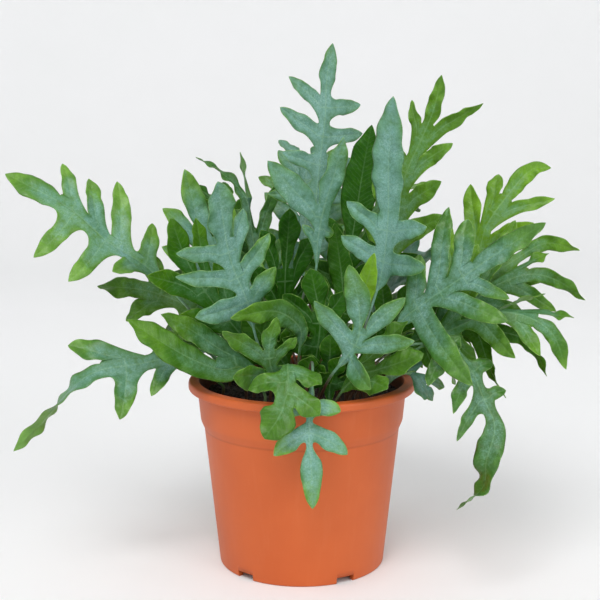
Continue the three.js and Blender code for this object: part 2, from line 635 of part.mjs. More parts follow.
      const inner = middle.slice(1).map((s) => ({ s, id: edgePoint(s) }));
      edgeTop.push(...inner);
      edgeUnder.push(...inner);
    }
    const outer = [...tail.map((s) => ({ s, id: edgePoint(s) })), tipOf];
    edgeTop.push(...outer);
    edgeUnder.push(...outer);
    skin.zip(top, edgeTop, side > 0);
    skin.zip(under, edgeUnder, side < 0);
    // The foot's end is closed by one face on each side of its middle line.
    skin.face(top[0].id, edgeTop[0].id, under[0].id, side > 0);
  }

  return { name, foot, geometry: skin.geometry() };
}

// ---------------------------------------------------------------- the pot and its soil

function lathe(profile, sectors) {
  return new THREE.LatheGeometry(profile.map(([r, z]) => new THREE.Vector2(r, z)), sectors)
    .rotateX(Math.PI / 2);
}

function pot() {
  const inner = POT.collarTop - POT.wall;
  const under = POT.height - POT.lipDepth;
  const ring = POT.footRadius - POT.footRingWidth;
  const { edge, wall, floorUnder, floorTop } = POT;
  const profile = [
    [0, 0], [POT.padRadius, 0], [POT.padRadius + edge, floorUnder], [ring - edge, floorUnder],
    [ring, 0], [POT.footRadius - edge, 0], [POT.footRadius, 2 * edge],
    [POT.stepRadius, POT.stepHeight], [POT.collarFoot, POT.collarFootHeight],
    [POT.collarTop, under], [POT.rimRadius - edge, under], [POT.rimRadius, under + edge],
    [POT.rimRadius, POT.height - edge], [POT.rimRadius - edge, POT.height],
    [inner + edge / 2, POT.height], [inner, POT.height - edge],
    [POT.collarFoot - wall, POT.collarFootHeight], [POT.stepRadius - wall, POT.stepHeight],
    [POT.footRadius - wall, floorTop + FLOOR_ROUND],
    [POT.footRadius - wall - FLOOR_ROUND, floorTop], [0, floorTop],
  ];
  let body = solid(lathe(profile, POT.sectors));
  for (let k = 0; k < NOTCH.count; k += 1) {
    const angle = degrees(NOTCH.first + (k * 360) / NOTCH.count);
    const box = new THREE.BoxGeometry(NOTCH.width, 3 * POT.footRingWidth, 2 * NOTCH.height);
    box.translate(0, -POT.footRadius, 0).rotateZ(angle);
    body = body.subtract(solid(box));
  }
  for (let k = 0; k < DRAIN.count; k += 1) {
    const angle = degrees(DRAIN.first + (k * 360) / DRAIN.count);
    const hole = new THREE.CylinderGeometry(DRAIN.radius, DRAIN.radius, 4 * POT.floorTop, DRAIN.sectors);
    hole.rotateX(Math.PI / 2).translate(0, -DRAIN.ring, 0).rotateZ(angle);
    body = body.subtract(solid(hole));
  }
  return geometryOf(body);
}

// The inside radius of the pot at a height.
function insideRadius(z) {
  const line = [
    [POT.floorTop, POT.footRadius - POT.wall - FLOOR_ROUND],
    [POT.floorTop + FLOOR_ROUND, POT.footRadius - POT.wall],
    [POT.stepHeight, POT.stepRadius - POT.wall], [POT.collarFootHeight, POT.collarFoot - POT.wall],
    [POT.height, POT.collarTop - POT.wall],
  ];
  const k = Math.max(1, line.findIndex(([height]) => height >= z));
  const [z0, r0] = line[k - 1];
  const [z1, r1] = line[k];
  return mix(r0, r1, (z - z0) / (z1 - z0));
}

function soil(feet) {
  const wallAt = (z) => insideRadius(z) - 2 * GAP;
  const bottom = POT.floorTop + GAP;
  const profile = [
    [0, bottom], [wallAt(bottom), bottom],
    [wallAt(POT.floorTop + FLOOR_ROUND), POT.floorTop + FLOOR_ROUND],
    [wallAt(POT.stepHeight), POT.stepHeight], [wallAt(POT.collarFootHeight), POT.collarFootHeight],
    [wallAt(SOIL_TOP), SOIL_TOP], ...SOIL_RINGS.map((radius) => [radius, SOIL_TOP]), [0, SOIL_TOP],
  ];
  const geometry = lathe(profile, SOIL_SECTORS);
  const place = geometry.attributes.position;
  for (let k = 0; k < place.count; k += 1) {
    const x = place.getX(k);
    const y = place.getY(k);
    const lump = Math.sin(x / 9 + 1) * Math.cos(y / 8) + 0.5 * Math.sin(x / 4.3 - y / 5.1);
    if (place.getZ(k) > SOIL_TOP - GAP) place.setZ(k, SOIL_TOP + SOIL_LUMP * lump);
  }
  let body = solid(geometry);
  for (const [x, y] of feet) {
    const depth = FOOT_DEPTH + GAP;
    const hole = new THREE.CylinderGeometry(HOLE.radius, HOLE.radius, 2 * depth, HOLE.sectors);
    hole.rotateX(Math.PI / 2).translate(x, y, SOIL_TOP);
    body = body.subtract(solid(hole));
  }
  return geometryOf(body);
}

// ---------------------------------------------------------------- the plant

const potFinish = new THREE.MeshStandardMaterial({ color: 0xcd643c, roughness: 0.45, metalness: 0 });
const soilFinish = new THREE.MeshStandardMaterial({ color: 0x2a2119, roughness: 0.95, metalness: 0 });
const frondFinish = new THREE.MeshStandardMaterial({ color: 0x6f9f8c, roughness: 0.5, metalness: 0 });

const plant = new THREE.Group();

function add(name, geometry, finish) {
  const mesh = new THREE.Mesh(geometry, finish.clone());
  mesh.name = name;
  plant.add(mesh);
}

const fronds = [...FRONDS.map(laidOut), ...FAR_FRONDS.map(farFrond)].map(frond);
add('pot', pot(), potFinish);
add('soil', soil(fronds.map(({ foot }) => foot)), soilFinish);
fronds.forEach(({ name, geometry }) => add(name, geometry, frondFinish));

export default plant;
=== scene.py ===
"""A blue star fern in its plastic nursery pot, dressed over its CAD model.

The frame is in metres, +Z up, with the plant's front towards -Y and the origin under the middle
of the pot. Tables of places are in millimetres, as the plant's own layout is, and MM turns them
into metres. Every surface is a grid of points that numpy works out from two parameters.
"""
import json
import math

import bpy
import numpy as np
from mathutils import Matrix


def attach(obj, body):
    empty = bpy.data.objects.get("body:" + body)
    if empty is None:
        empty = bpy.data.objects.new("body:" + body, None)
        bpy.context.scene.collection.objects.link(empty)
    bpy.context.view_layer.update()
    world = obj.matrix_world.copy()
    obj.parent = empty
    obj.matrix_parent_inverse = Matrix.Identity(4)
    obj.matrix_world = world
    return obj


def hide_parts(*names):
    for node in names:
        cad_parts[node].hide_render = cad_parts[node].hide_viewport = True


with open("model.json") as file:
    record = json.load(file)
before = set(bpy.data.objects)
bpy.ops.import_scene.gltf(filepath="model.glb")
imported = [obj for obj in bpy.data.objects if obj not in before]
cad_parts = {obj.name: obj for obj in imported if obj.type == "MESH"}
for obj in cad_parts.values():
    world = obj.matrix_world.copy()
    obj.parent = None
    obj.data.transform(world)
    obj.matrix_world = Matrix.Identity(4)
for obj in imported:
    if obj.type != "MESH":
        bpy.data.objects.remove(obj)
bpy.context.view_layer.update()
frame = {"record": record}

MM = 0.001
SEED = 20
BODY = "root"
TURN = 2 * math.pi
PHASES = (0, 6.3)  # range that the start of a wave is drawn from
NEAR = 1e-6  # shares of a rib that are closer than this are one place
SLOT_OF = {part["node"]: part["material_slot"] for part in frame["record"]["subparts"]}

# ---------------------------------------------------------------- sizes of the plant, in mm

SOIL_TOP = 142
FOOT_DEPTH = 12  # how deep a stalk stands in the compost
FOOT_CLEAR = 9  # straight height of a stalk over the compost
WING = (4.5, 6.5)  # half the leaf strip along the rib, at the first and at the last lobes
FIRST_MOST = 0.5  # the strip takes no more than this share of a lobe's length
ROOM_SHARE = 0.42  # how much of the way to its neighbour a lobe may fill
BOW_BACK = 0.1  # how far a lobe's axis bows towards the stalk, as a share of its length
BOW_UP = 0.06  # and upwards
CARRY_STEPS = 12  # steps in which the upper face is carried along a stalk
EYE = np.array([0, -1037, 396])  # where the front fronds' places are seen from
PLAIN_FACE = np.array([0, -0.8, 0.6])  # the way a frond without lobes faces

STALK_RADIUS = 1.25  # at the foot
RIB_WIDE, RIB_HIGH = 0.75, 0.5  # half the rib's section where the lobes start
RIB_END = 0.3  # share of that section that is left near the tip
BLADE_THICK = 0.42
VEIN_THICK = 0.36  # what the midvein adds to that
STALK_TAPER = 0.16  # share of its radius that a stalk has lost where the blade starts
FLATTENS, GREENS = (-0.06, 0.04), (-0.3, 0.04)  # from and to, in shares past the blade's start
TUBE_LAST = 0.99  # share of the frond's length at which its rib ends
FOOT_SWELL, SWELL_RUN = 0.5, 9  # how much thicker its foot is, and how fast that fades
BASE_RUN = 16  # length over which the blade runs out down the stalk
MARGIN_FAR = 6  # distance from a margin at which nothing of it shows any more

WING_ROWS = np.array([0, 0.12, 0.34, 0.62, 0.88, 1])  # shares of the strip's width
LOBE_ROWS = 30
LOBE_COLUMNS = np.array([-1, -0.93, -0.72, -0.42, -0.14, 0, 0.14, 0.42, 0.72, 0.93, 1])
END_ROWS, BASE_ROWS, BARE_ROWS, TUBE_ROWS, TUBE_SIDES = 46, 9, 16, 84, 8
AXIS_POINTS, RIB_POINTS = 17, 81  # points of a middle line that other lobes keep away from
SINUS_RUN = 0.28  # share of a lobe in which the strip along the rib has turned into the lobe

# Sizes that say "calm and more" give the size on a calm frond, and what strong waves add to it.
LOBE_SCALE, LOBE_FOOT, LOBE_GAIN = 1.12, 0.76, 0.43  # a lobe's widths, see lobe_shape
TIP_POWER, TIP_ROUND = (2.7, -0.2), (0.8, 0.08)  # calm and more
WAVER_MORE, FAST_SHARE = 0.06, 0.35
WAVER_RUN, BEND_RUN = (0.08, 0.4), (0.4, 1.2)  # shares of a lobe where these set in
GROWN = 0.3  # share of a lobe over which its relief grows to its full height
LOBE_CROWDING, END_CROWDING = 0.35, 0.3  # how much closer rows lie at both ends of a lobe
NARROW = 5  # half width under which the relief fades
GROOVE_DEPTH, GROOVE_WIDTH, GROOVE_RUN = 0.35, 1.2, 0.15  # of the midvein's furrow
TIP_BEND = (-0.09, 0.04)  # range of a tip's bend, as a share of the lobe's length
RIPPLE_PITCH = 0.45  # pitch of the small ripples at a margin, as a share of its waves' pitch
BUCKLE_SLANT = 2.6
TONE_SPREAD = dict(lobe=0.08, end=0.05, frond=0.03)

# Form of the lobes and of the end lobe. Two numbers are a range to draw from, apart from ripple and
# buckle, which are calm and more. In margin, strong waves add the third number to the second.
LOBE_FORM = dict(
    slow=(17, 26), fast=(8, 11), waver=0.05, fold=(7, 21), droop=(0.05, 0.26), pitch=(15, 23),
    margin=(0.7, 1.1, 1.8), hug=1.7, ripple=(0.15, 0.3), buckle=(0.12, 0.22), buckle_pitch=9.5)
END_FORM = dict(
    slow=(19, 30), fast=(8, 12), waver=0.04, fold=(8, 20), droop=(0.05, 0.24), pitch=(16, 25),
    margin=(0.8, 1.3, 1.9), hug=1.6, ripple=(0, 0), buckle=(0.12, 0.24), buckle_pitch=10)

# A frond of the front: where its stalk stands, x and y; the places that its rib runs through; the
# shares of the rib where its blade starts and where its last lobes end; the width of its end lobe;
# half the strip along the rib, at its first and last lobes; and the turn of its tip, in degrees.
# Then its lobes on each side, from the lowest up: the tip's place, the width and any twist. A place
# is (x, height, depth): where the line from EYE through x and height in the upright plane y = 0
# reaches the depth.

FRONDS = [
  dict(
    name="frond_far_left", foot=[-40, -6],
    rib=[[-72, 190, -6], [-105, 228, -8], [-131, 253, -10], [-160, 272, -12], [-190, 299, -14],
      [-243, 328, -20]],
    blade=[0.50, 0.84], end=22, wing=[6, 8],
    left=[[-156, 249, -38, 17], [-193, 240, -46, 17], [-222, 259, -42, 16]],
    right=[[-123, 288, 10, 15], [-151, 323, 16, 17], [-174, 325, 14, 16],
      [-195, 338, 4, 13]]),
  dict(
    name="frond_left_behind", foot=[-34, 14],
    rib=[[-62, 188, 16], [-92, 216, 22], [-128, 231, 28], [-170, 235, 30]],
    blade=[0.46, 0.8], end=22, turn=40, wing=[6, 8],
    left=[[-108, 188, 6, 18], [-147, 206, 10, 18]],
    right=[[-95, 258, 36, 18], [-127, 262, 40, 18]]),
  dict(
    name="frond_low_left", foot=[-46, -22],
    rib=[[-70, 178, -28], [-103, 176, -36], [-136, 169, -46], [-171, 163, -56], [-189, 152, -62],
      [-216, 123, -70], [-245, 93, -80]],
    blade=[0.34, 0.62], end=22, turn=150, wing=[6, 7.5],
    left=[[-127, 142, -64, 13], [-154, 121, -74, 18]],
    right=[[-130, 200, -24, 18], [-196, 185, -48, 21]]),
  dict(
    name="frond_left_broad", foot=[-30, -36],
    rib=[[-50, 166, -48], [-66, 164, -56], [-88, 171, -66], [-115, 186, -76], [-146, 207, -84]],
    blade=[0.26, 0.48], end=30, wing=[8, 11],
    left=[],
    right=[[-118, 211, -56, 22]]),
  dict(
    name="frond_blue_left", foot=[-20, -46],
    rib=[[-38, 190, -62], [-46, 223, -70], [-58, 253, -78], [-64, 282, -88], [-69, 322, -104]],
    blade=[0.46, 0.77], end=27, wing=[5, 8],
    left=[[-88, 208, -88, 19], [-104, 242, -96, 14], [-104, 262, -98, 14]],
    right=[[-21, 251, -62, 17], [-26, 279, -68, 15], [-47, 299, -80, 16]]),
  dict(
    name="frond_left_back", foot=[-16, 2],
    rib=[[-40, 200, 6], [-62, 240, 8], [-82, 280, 6], [-96, 332, 0]],
    blade=[0.40, 0.74], end=23,
    left=[[-98, 236, -10, 20], [-116, 268, -8, 20], [-114, 300, -8, 19]],
    right=[[-34, 262, 26, 20], [-56, 302, 24, 20]]),
  dict(
    name="frond_left_twisted", foot=[-6, 22],
    rib=[[-20, 205, 34], [-36, 245, 42], [-41, 280, 46], [-46, 308, 48], [-66, 329, 48],
      [-87, 342, 46]],
    blade=[0.42, 0.76], end=12, turn=60,
    left=[[-72, 266, 26, 18], [-84, 298, 32, 18]],
    right=[[-6, 282, 60, 18], [-20, 322, 60, 13, 20], [-50, 346, 64, 12, 20]]),
  dict(
    name="frond_top", foot=[4, 30],
    rib=[[8, 240, 38], [12, 310, 46], [16, 349, 52], [19, 375, 56], [20, 404, 61], [25, 433, 66]],
    blade=[0.54, 0.86], end=16, wing=[6, 5],
    left=[[-28, 312, 30, 15], [-16, 346, 38, 14], [-18, 382, 46, 15],
      [-10, 407, 52, 13]],
    right=[[42, 310, 64, 15], [48, 338, 72, 14], [51, 361, 74, 14],
      [48, 384, 76, 14]]),
  dict(
    name="frond_fork", foot=[-2, -12],
    rib=[[-2, 196, -16], [2, 230, -20], [11, 246, -24], [13, 274, -27], [18, 300, -30],
      [27, 330, -34], [34, 358, -38]],
    blade=[0.59, 0.76], end=20, wing=[3, 7],
    left=[[1, 286, -36, 8], [-27, 338, -54, 23]],
    right=[[27, 279, -18, 9]]),
  dict(
    name="frond_big_blue", foot=[36, -24],
    rib=[[54, 205, -36], [66, 245, -44], [71, 290, -52], [71, 339, -62], [74, 391, -78]],
    blade=[0.46, 0.65], end=28, wing=[7, 9.5],
    left=[[32, 277, -40, 16], [36, 305, -44, 15]],
    right=[[101, 251, -80, 18], [101, 284, -78, 16]]),
  dict(
    name="frond_dark_back", foot=[22, 12],
    rib=[[34, 230, 20], [44, 290, 24], [50, 330, 24], [57, 368, 22]],
    blade=[0.40, 0.60], end=33, wing=[6, 8],
    left=[[0, 256, 34, 20], [18, 292, 38, 19]],
    right=[[96, 262, 12, 19], [88, 296, 12, 20]]),
  dict(
    name="frond_top_right", foot=[40, 0],
    rib=[[60, 226, -2], [77, 284, -4], [85, 327, -8], [97, 355, -12], [107, 380, -18],
      [113, 408, -26]],
    blade=[0.46, 0.86], end=13, turn=30, wing=[8, 5],
    left=[[52, 286, 6, 18], [58, 322, 4, 17], [76, 352, 0, 15], [88, 388, -6, 10]],
    right=[[117, 294, -24, 18], [114, 322, -24, 17], [122, 353, -26, 15],
      [147, 386, -30, 13, 60]]),
  dict(
    name="frond_right_up", foot=[50, 12],
    rib=[[84, 210, 14], [124, 240, 16], [146, 264, 18], [152, 285, 20], [168, 309, 22],
      [189, 332, 26], [204, 333, 28]],
    blade=[0.47, 0.82], end=16, turn=30,
    left=[[118, 292, 32, 18], [138, 320, 36, 18], [160, 329, 36, 17]],
    right=[[168, 240, 2, 17], [191, 288, 0, 18], [208, 308, 12, 12]]),
  dict(
    name="frond_right_blue", foot=[44, -42],
    rib=[[78, 200, -54], [105, 223, -62], [134, 243, -68], [158, 260, -72], [179, 274, -78],
      [201, 288, -86]],
    blade=[0.44, 0.72], end=20, wing=[7, 8],
    left=[[97, 262, -46, 19], [121, 301, -44, 18], [136, 292, -50, 22]],
    right=[[144, 150, -118, 22], [171, 206, -110, 19], [173, 224, -98, 12]]),
  dict(
    name="frond_right_mid", foot=[54, -4],
    rib=[[106, 202, -6], [150, 238, -8], [178, 258, -10], [202, 271, -14], [230, 265, -20]],
    blade=[0.46, 0.8], end=14, turn=60, wing=[4, 4],
    left=[[146, 270, 4, 16], [176, 290, 0, 16]],
    right=[[168, 214, -26, 16], [198, 238, -28, 16]]),
  dict(
    name="frond_right_curl", foot=[50, -20],
    rib=[[104, 196, -26], [142, 222, -32], [166, 238, -36], [190, 245, -38], [212, 240, -42],
      [236, 223, -46]],
    blade=[0.42, 0.78], end=13, turn=70,
    left=[[134, 254, -22, 16], [168, 266, -22, 16], [204, 264, -26, 12]],
    right=[[150, 188, -42, 16], [187, 210, -50, 16], [212, 214, -54, 13]]),
  dict(
    name="frond_right_low", foot=[46, -32],
    rib=[[94, 180, -46], [132, 202, -58], [162, 213, -68], [186, 210, -74], [209, 195, -80],
      [222, 164, -84]],
    blade=[0.42, 0.80], end=14, turn=20,
    left=[[150, 242, -58, 15], [203, 228, -62, 16], [227, 208, -70, 14]],
    right=[[146, 172, -60, 15], [178, 174, -86, 16], [200, 176, -94, 13]]),
  dict(
    name="frond_right_under", foot=[38, -30],
    rib=[[76, 176, -36], [112, 196, -40], [152, 198, -44], [187, 190, -50], [199, 174, -52],
      [206, 158, -54]],
    blade=[0.40, 0.72], end=14, turn=80,
    left=[[96, 226, -30, 15], [130, 222, -48, 13]],
    right=[[112, 164, -50, 16], [140, 164, -58, 15], [170, 138, -66, 13, 115]]),
  dict(
    name="frond_right_hang", foot=[38, -52],
    rib=[[72, 178, -66], [106, 186, -68], [139, 167, -78], [153, 139, -88], [163, 115, -94],
      [157, 84, -98], [155, 62, -100], [132, 41, -106]],
    blade=[0.42, 0.68], end=23, turn=128, wing=[4, 6],
    left=[[132, 192, -72, 14], [160, 170, -68, 12], [172, 146, -78, 10]],
    right=[[106, 150, -92, 14], [128, 126, -110, 12], [132, 102, -114, 10]]),
  dict(
    name="frond_star", foot=[14, -60],
    rib=[[24, 158, -84], [38, 176, -98], [47, 191, -103], [47, 222, -108], [39, 253, -116]],
    blade=[0.50, 0.68], end=21, wing=[3.5, 5],
    left=[[10, 223, -108, 16]],
    right=[[57, 147, -114, 20], [94, 188, -114, 16], [86, 225, -112, 15]]),
  dict(
    name="frond_front_hang", foot=[2, -68],
    rib=[[8, 170, -80], [9, 160, -101], [7, 132, -108], [6, 106, -114], [8, 76, -119],
      [9, 42, -122]],
    blade=[0.54, 0.74], end=17, wing=[2.5, 2.5],
    left=[[33, 128, -108, 14], [39, 90, -116, 15]],
    right=[[-14, 126, -107, 11], [-24, 89, -118, 15]]),
  dict(
    name="frond_front_left", foot=[-16, -54],
    rib=[[-22, 154, -72], [-27, 171, -84], [-27, 188, -92], [-21, 209, -98]],
    blade=[0.44, 0.74], end=14, wing=[5, 5],
    left=[[-58, 158, -108, 24], [-67, 197, -104, 17]],
    right=[[-4, 168, -80, 13], [-4, 190, -90, 12]]),
  dict(
    name="frond_front_fold", foot=[-6, -40],
    rib=[[-2, 180, -54], [-2, 200, -66], [-22, 214, -78], [-60, 208, -88]],
    blade=[0.52, 0.56], end=21,
    left=[],
    right=[]),
  dict(
    name="frond_low_green", foot=[26, -64],
    rib=[[46, 158, -76], [64, 164, -84], [82, 170, -92], [102, 178, -96]],
    blade=[0.40, 0.62], end=30, wing=[7, 10],
    left=[[88, 206, -78, 20]],
    right=[[72, 148, -104, 22]]),
  dict(
    name="frond_inner_left", foot=[-12, -2],
    rib=[[-14, 200, 0], [-14, 240, -2], [-10, 300, -8]],
    blade=[0.34, 0.70], end=30, wing=[4.5, 8],
    left=[[-40, 218, -14, 24], [-42, 252, -16, 26], [-34, 282, -16, 24]],
    right=[[12, 210, 10, 24], [14, 244, 8, 26], [8, 276, 4, 24]]),
  dict(
    name="frond_inner_right", foot=[16, -14],
    rib=[[26, 190, -8], [34, 222, -4], [27, 288, 2]],
    blade=[0.34, 0.6], end=22,
    left=[[6, 192, -14, 20], [3, 248, -8, 24]],
    right=[[56, 190, -16, 20], [60, 232, -16, 20]]),
  dict(
    name="frond_inner_front", foot=[14, -38],
    rib=[[19, 158, -46], [23, 172, -54], [24, 194, -62]],
    blade=[0.46, 0.68], end=19,
    left=[[0, 176, -54, 15]],
    right=[[47, 168, -60, 15]]),
  dict(
    name="frond_inner_low", foot=[-4, -24],
    rib=[[-12, 164, -26], [-24, 182, -32], [-48, 212, -40]],
    blade=[0.44, 0.68], end=28,
    left=[[-62, 180, -38, 23]],
    right=[[-6, 202, -30, 19]]),
  dict(
    name="frond_left_mid", foot=[-26, -14],
    rib=[[-50, 192, -22], [-76, 224, -30], [-96, 258, -34], [-108, 292, -34]],
    blade=[0.40, 0.74], end=24, wing=[6, 8],
    left=[[-104, 208, -48, 20], [-128, 244, -46, 20]],
    right=[[-72, 262, -20, 20], [-88, 292, -20, 18]]),
  dict(
    name="frond_middle_dark", foot=[6, -26],
    rib=[[12, 176, -32], [15, 206, -38], [7, 250, -44]],
    blade=[0.40, 0.72], end=26,
    left=[[-16, 190, -44, 20], [-16, 228, -44, 21]],
    right=[[38, 188, -34, 20], [36, 230, -35, 22]]),
  dict(
    name="frond_right_inner", foot=[30, -8],
    rib=[[56, 178, -14], [78, 206, -20], [92, 238, -22]],
    blade=[0.42, 0.74], end=22,
    left=[[56, 216, -32, 16], [67, 242, -28, 16]],
    right=[[104, 190, -16, 18], [116, 222, -20, 18]]),
  dict(
    name="frond_middle_low", foot=[22, -50],
    rib=[[24, 154, -54], [27, 162, -58], [33, 175, -62]],
    blade=[0.46, 0.70], end=18,
    left=[[10, 168, -58, 15]],
    right=[[54, 158, -62, 15]]),
  dict(
    name="frond_front_inner", foot=[0, -48],
    rib=[[2, 150, -56], [4, 160, -64], [8, 176, -70]],
    blade=[0.44, 0.68], end=19, wing=[4, 5],
    left=[[-12, 158, -66, 15]],
    right=[[26, 160, -70, 16]]),
  dict(
    name="frond_young", foot=[30, -44],
    rib=[[36, 172, -46], [46, 208, -60], [54, 238, -78], [60, 263, -86]],
    blade=[0.58, 0.62], end=17, wing=[2.5, 3],
    left=[],
    right=[]),
  dict(
    name="frond_rim_hang", foot=[-6, -66],
    rib=[[-10, 160, -80], [-12, 168, -102], [-12, 150, -118], [-18, 126, -125], [-32, 104, -128]],
    blade=[0.54, 0.80], end=32, wing=[4, 8],
    left=[[17, 152, -118, 18], [15, 124, -126, 20]],
    right=[[-46, 147, -110, 17]]),
]

# A frond of the far side: its heading in degrees, from the front round to the right; how far from
# the axis it stands and reaches; the heights of its crown and of its tip; its pairs of lobes, the
# length of the longest, and how far it sways sideways.
FAR_FRONDS = [
  ("frond_far_1", 108, 54, 150, 215, 160, 4, 50, 8),
  ("frond_far_2", 128, 50, 175, 254, 220, 4, 52, -8),
  ("frond_far_3", 136, 44, 155, 304, 286, 4, 48, 0),
  ("frond_far_4", 148, 64, 165, 200, 124, 4, 48, -6),
  ("frond_far_5", 158, 52, 200, 254, 214, 5, 52, 0),
  ("frond_far_6", 180, 46, 165, 334, 314, 5, 50, -4),
  ("frond_far_7", 184, 64, 175, 196, 112, 4, 50, 6),
  ("frond_far_8", 201, 54, 195, 252, 204, 5, 54, 0),
  ("frond_far_9", 221, 56, 150, 303, 290, 4, 39, 4),
  ("frond_far_10", 222, 62, 160, 205, 140, 4, 48, 6),
  ("frond_far_11", 234, 54, 150, 238, 214, 4, 34, -4),
  ("frond_low_1", 60, 68, 120, 172, 152, 3, 34, 0),
  ("frond_low_2", 92, 66, 130, 182, 150, 3, 36, 4),
  ("frond_low_3", 130, 70, 128, 176, 150, 3, 34, 0),
  ("frond_low_4", 166, 70, 130, 180, 152, 3, 34, -4),
  ("frond_low_5", 204, 70, 128, 178, 150, 3, 34, 4),
  ("frond_low_6", 246, 68, 130, 182, 154, 3, 36, 0),
  ("frond_low_7", 274, 66, 110, 174, 166, 3, 32, 0),
]
FAR_RISE = [(0.12, 0.42), (0.34, 0.80), (0.62, 1)]  # share of the way out, share of the rise
FAR_DROOP = (0.84, 0.64)  # share of the way out, share of the drop that is still to come
FAR_SWAY = 4  # times a frond's sway, in the middle of its way out
FAR_END = 18
FAR_WIDTHS = (19, 15)  # of its lowest and of its highest lobes
FAR_LIFT = (0.1, 0.08)  # a lobe's rise as a share of its length, and how much that varies
FAR_TILT = 0.2  # how far a blade leans outwards
FAR_BLADE = (0.42, 0.84)
LOBE_LENGTHS = [0.86, 1, 0.94, 0.8, 0.64]  # from the lowest pair up
LOBE_ANGLES = [66, 60, 54, 48, 42]  # between a lobe and the rib
LENGTH_WOBBLE = 0.08
ANGLE_WOBBLE = 5

# Look of a frond: its tone from glaucous blue (0) to green (1), its depth from pale (0) to dark
# (1), and how strongly its margins wave. The others take theirs from their material slot.
LOOKS = {
    "frond_far_left": (0.72, 0.24, 0.45), "frond_left_behind": (0.85, 0.5, 1.0),
    "frond_low_left": (0.56, 0.34, 0.6), "frond_left_broad": (0.72, 0.5, 0.8),
    "frond_blue_left": (0.14, 0.42, 0.35), "frond_left_back": (0.36, 0.12, 0.4),
    "frond_left_twisted": (0.85, 0.8, 0.7), "frond_top": (0.18, 0.38, 0.5),
    "frond_fork": (0.2, 0.38, 0.3), "frond_big_blue": (0.0, 0.22, 0.2),
    "frond_dark_back": (1.0, 0.9, 0.35), "frond_top_right": (0.95, 0.42, 1.0),
    "frond_right_up": (0.85, 0.12, 0.8), "frond_right_blue": (0.48, 0.54, 0.35),
    "frond_right_mid": (0.72, 0.3, 0.7), "frond_right_curl": (0.62, 0.42, 0.8),
    "frond_right_low": (0.55, 0.42, 0.8), "frond_right_under": (0.72, 0.6, 0.8),
    "frond_right_hang": (0.86, 0.74, 0.8), "frond_star": (0.38, 0.5, 0.1),
    "frond_front_hang": (0.14, 0.04, 0.25), "frond_front_left": (0.58, 0.6, 0.7),
    "frond_front_fold": (0.58, 0.52, 0.5), "frond_low_green": (1.0, 0.62, 0.9),
    "frond_inner_left": (1.0, 0.95, 0.9), "frond_inner_right": (0.8, 0.8, 0.6),
    "frond_inner_front": (0.6, 0.8, 0.6), "frond_inner_low": (0.75, 0.75, 0.7),
    "frond_left_mid": (0.55, 0.5, 0.6), "frond_middle_dark": (0.85, 0.85, 0.8),
    "frond_right_inner": (0.8, 0.8, 0.8), "frond_middle_low": (0.65, 0.75, 0.7),
    "frond_front_inner": (0.5, 0.78, 0.6), "frond_rim_hang": (0.85, 0.58, 1.1),
    "frond_young": (1.0, 0.0, 0.4),
}
SLOT_LOOKS = {
    "leaf_blue": (0.25, 0.4, 0.5), "leaf_green": (0.7, 0.45, 0.7), "leaf_dark": (0.65, 0.68, 0.8)}

# ---------------------------------------------------------------- directions and curves


def unit(v):
    """Rows of v as directions: each over its own length."""
    return v / np.maximum(np.linalg.norm(v, axis=-1, keepdims=True), 1e-12)


def dot(a, b):
    """The inner product of each row, kept as a column."""
    return np.sum(a * b, axis=-1, keepdims=True)


def across(v, axis):
    """The part of v that stands square on axis, as a direction."""
    return unit(v - axis * dot(v, axis))


def turned(v, axis, angle):
    """v turned about axis by angle, which is one number or one for each row of v."""
    angle = np.reshape(angle, (-1, 1))
    return v * np.cos(angle) + np.cross(axis, v) * np.sin(angle) + axis * dot(axis, v) * (
        1 - np.cos(angle))


def ramp(x, low, high):
    """0 below low, 1 above high, and an S-shaped rise between them."""
    share = np.clip((x - low) / (high - low), 0, 1)
    return share * share * (3 - 2 * share)


class Line:
    """A curve in space: dense points, and how much of the length lies before each."""

    def __init__(self, points):
        steps = np.linalg.norm(np.diff(points, axis=0), axis=1)
        self.points = points
        self.length = steps.sum()
        self.share = np.concatenate([[0], np.cumsum(steps)]) / self.length

    def at(self, s):
        """The points at shares s of the length."""
        return np.stack([np.interp(s, self.share, self.points[:, k]) for k in range(3)], axis=-1)

    def along(self, s, step=0.004):
        """The direction at shares s: from a little before to a little after."""
        return unit(self.at(np.minimum(s + step, 1)) - self.at(np.maximum(s - step, 0)))


def smooth_through(places, per_leg=40):
    """Points of the centripetal Catmull-Rom curve through the places.

    Each leg is a cubic whose slopes at its two ends come from the neighbouring places, weighted
    by the square roots of the distances between them.
    """
    p = np.vstack([2 * places[0] - places[1], places, 2 * places[-1] - places[-2]])
    gap = np.sqrt(np.linalg.norm(np.diff(p, axis=0), axis=1))[:, None]
    d0, d1, d2 = gap[:-2], gap[1:-1], gap[2:]
    a, b, c, d = p[:-3], p[1:-2], p[2:-1], p[3:]
    start = ((b - a) / d0 - (c - a) / (d0 + d1) + (c - b) / d1) * d1
    end = ((c - b) / d1 - (d - b) / (d1 + d2) + (d - c) / d2) * d1
    w = np.linspace(0, 1, per_leg, endpoint=False)[None, :, None]
    b, c, start, end = b[:, None], c[:, None], start[:, None], end[:, None]
    legs = b + start * w + (3 * (c - b) - 2 * start - end) * w**2 + (
        2 * (b - c) + start + end) * w**3
    return np.vstack([legs.reshape(-1, 3), places[-1:]])


def rib_line(foot, places):
    """The rib's curve: straight up out of the compost, then through its places."""
    stand = [[*foot, SOIL_TOP + z] for z in (-FOOT_DEPTH, FOOT_CLEAR / 4, FOOT_CLEAR)]
    return Line(smooth_through(np.vstack([stand, places])))


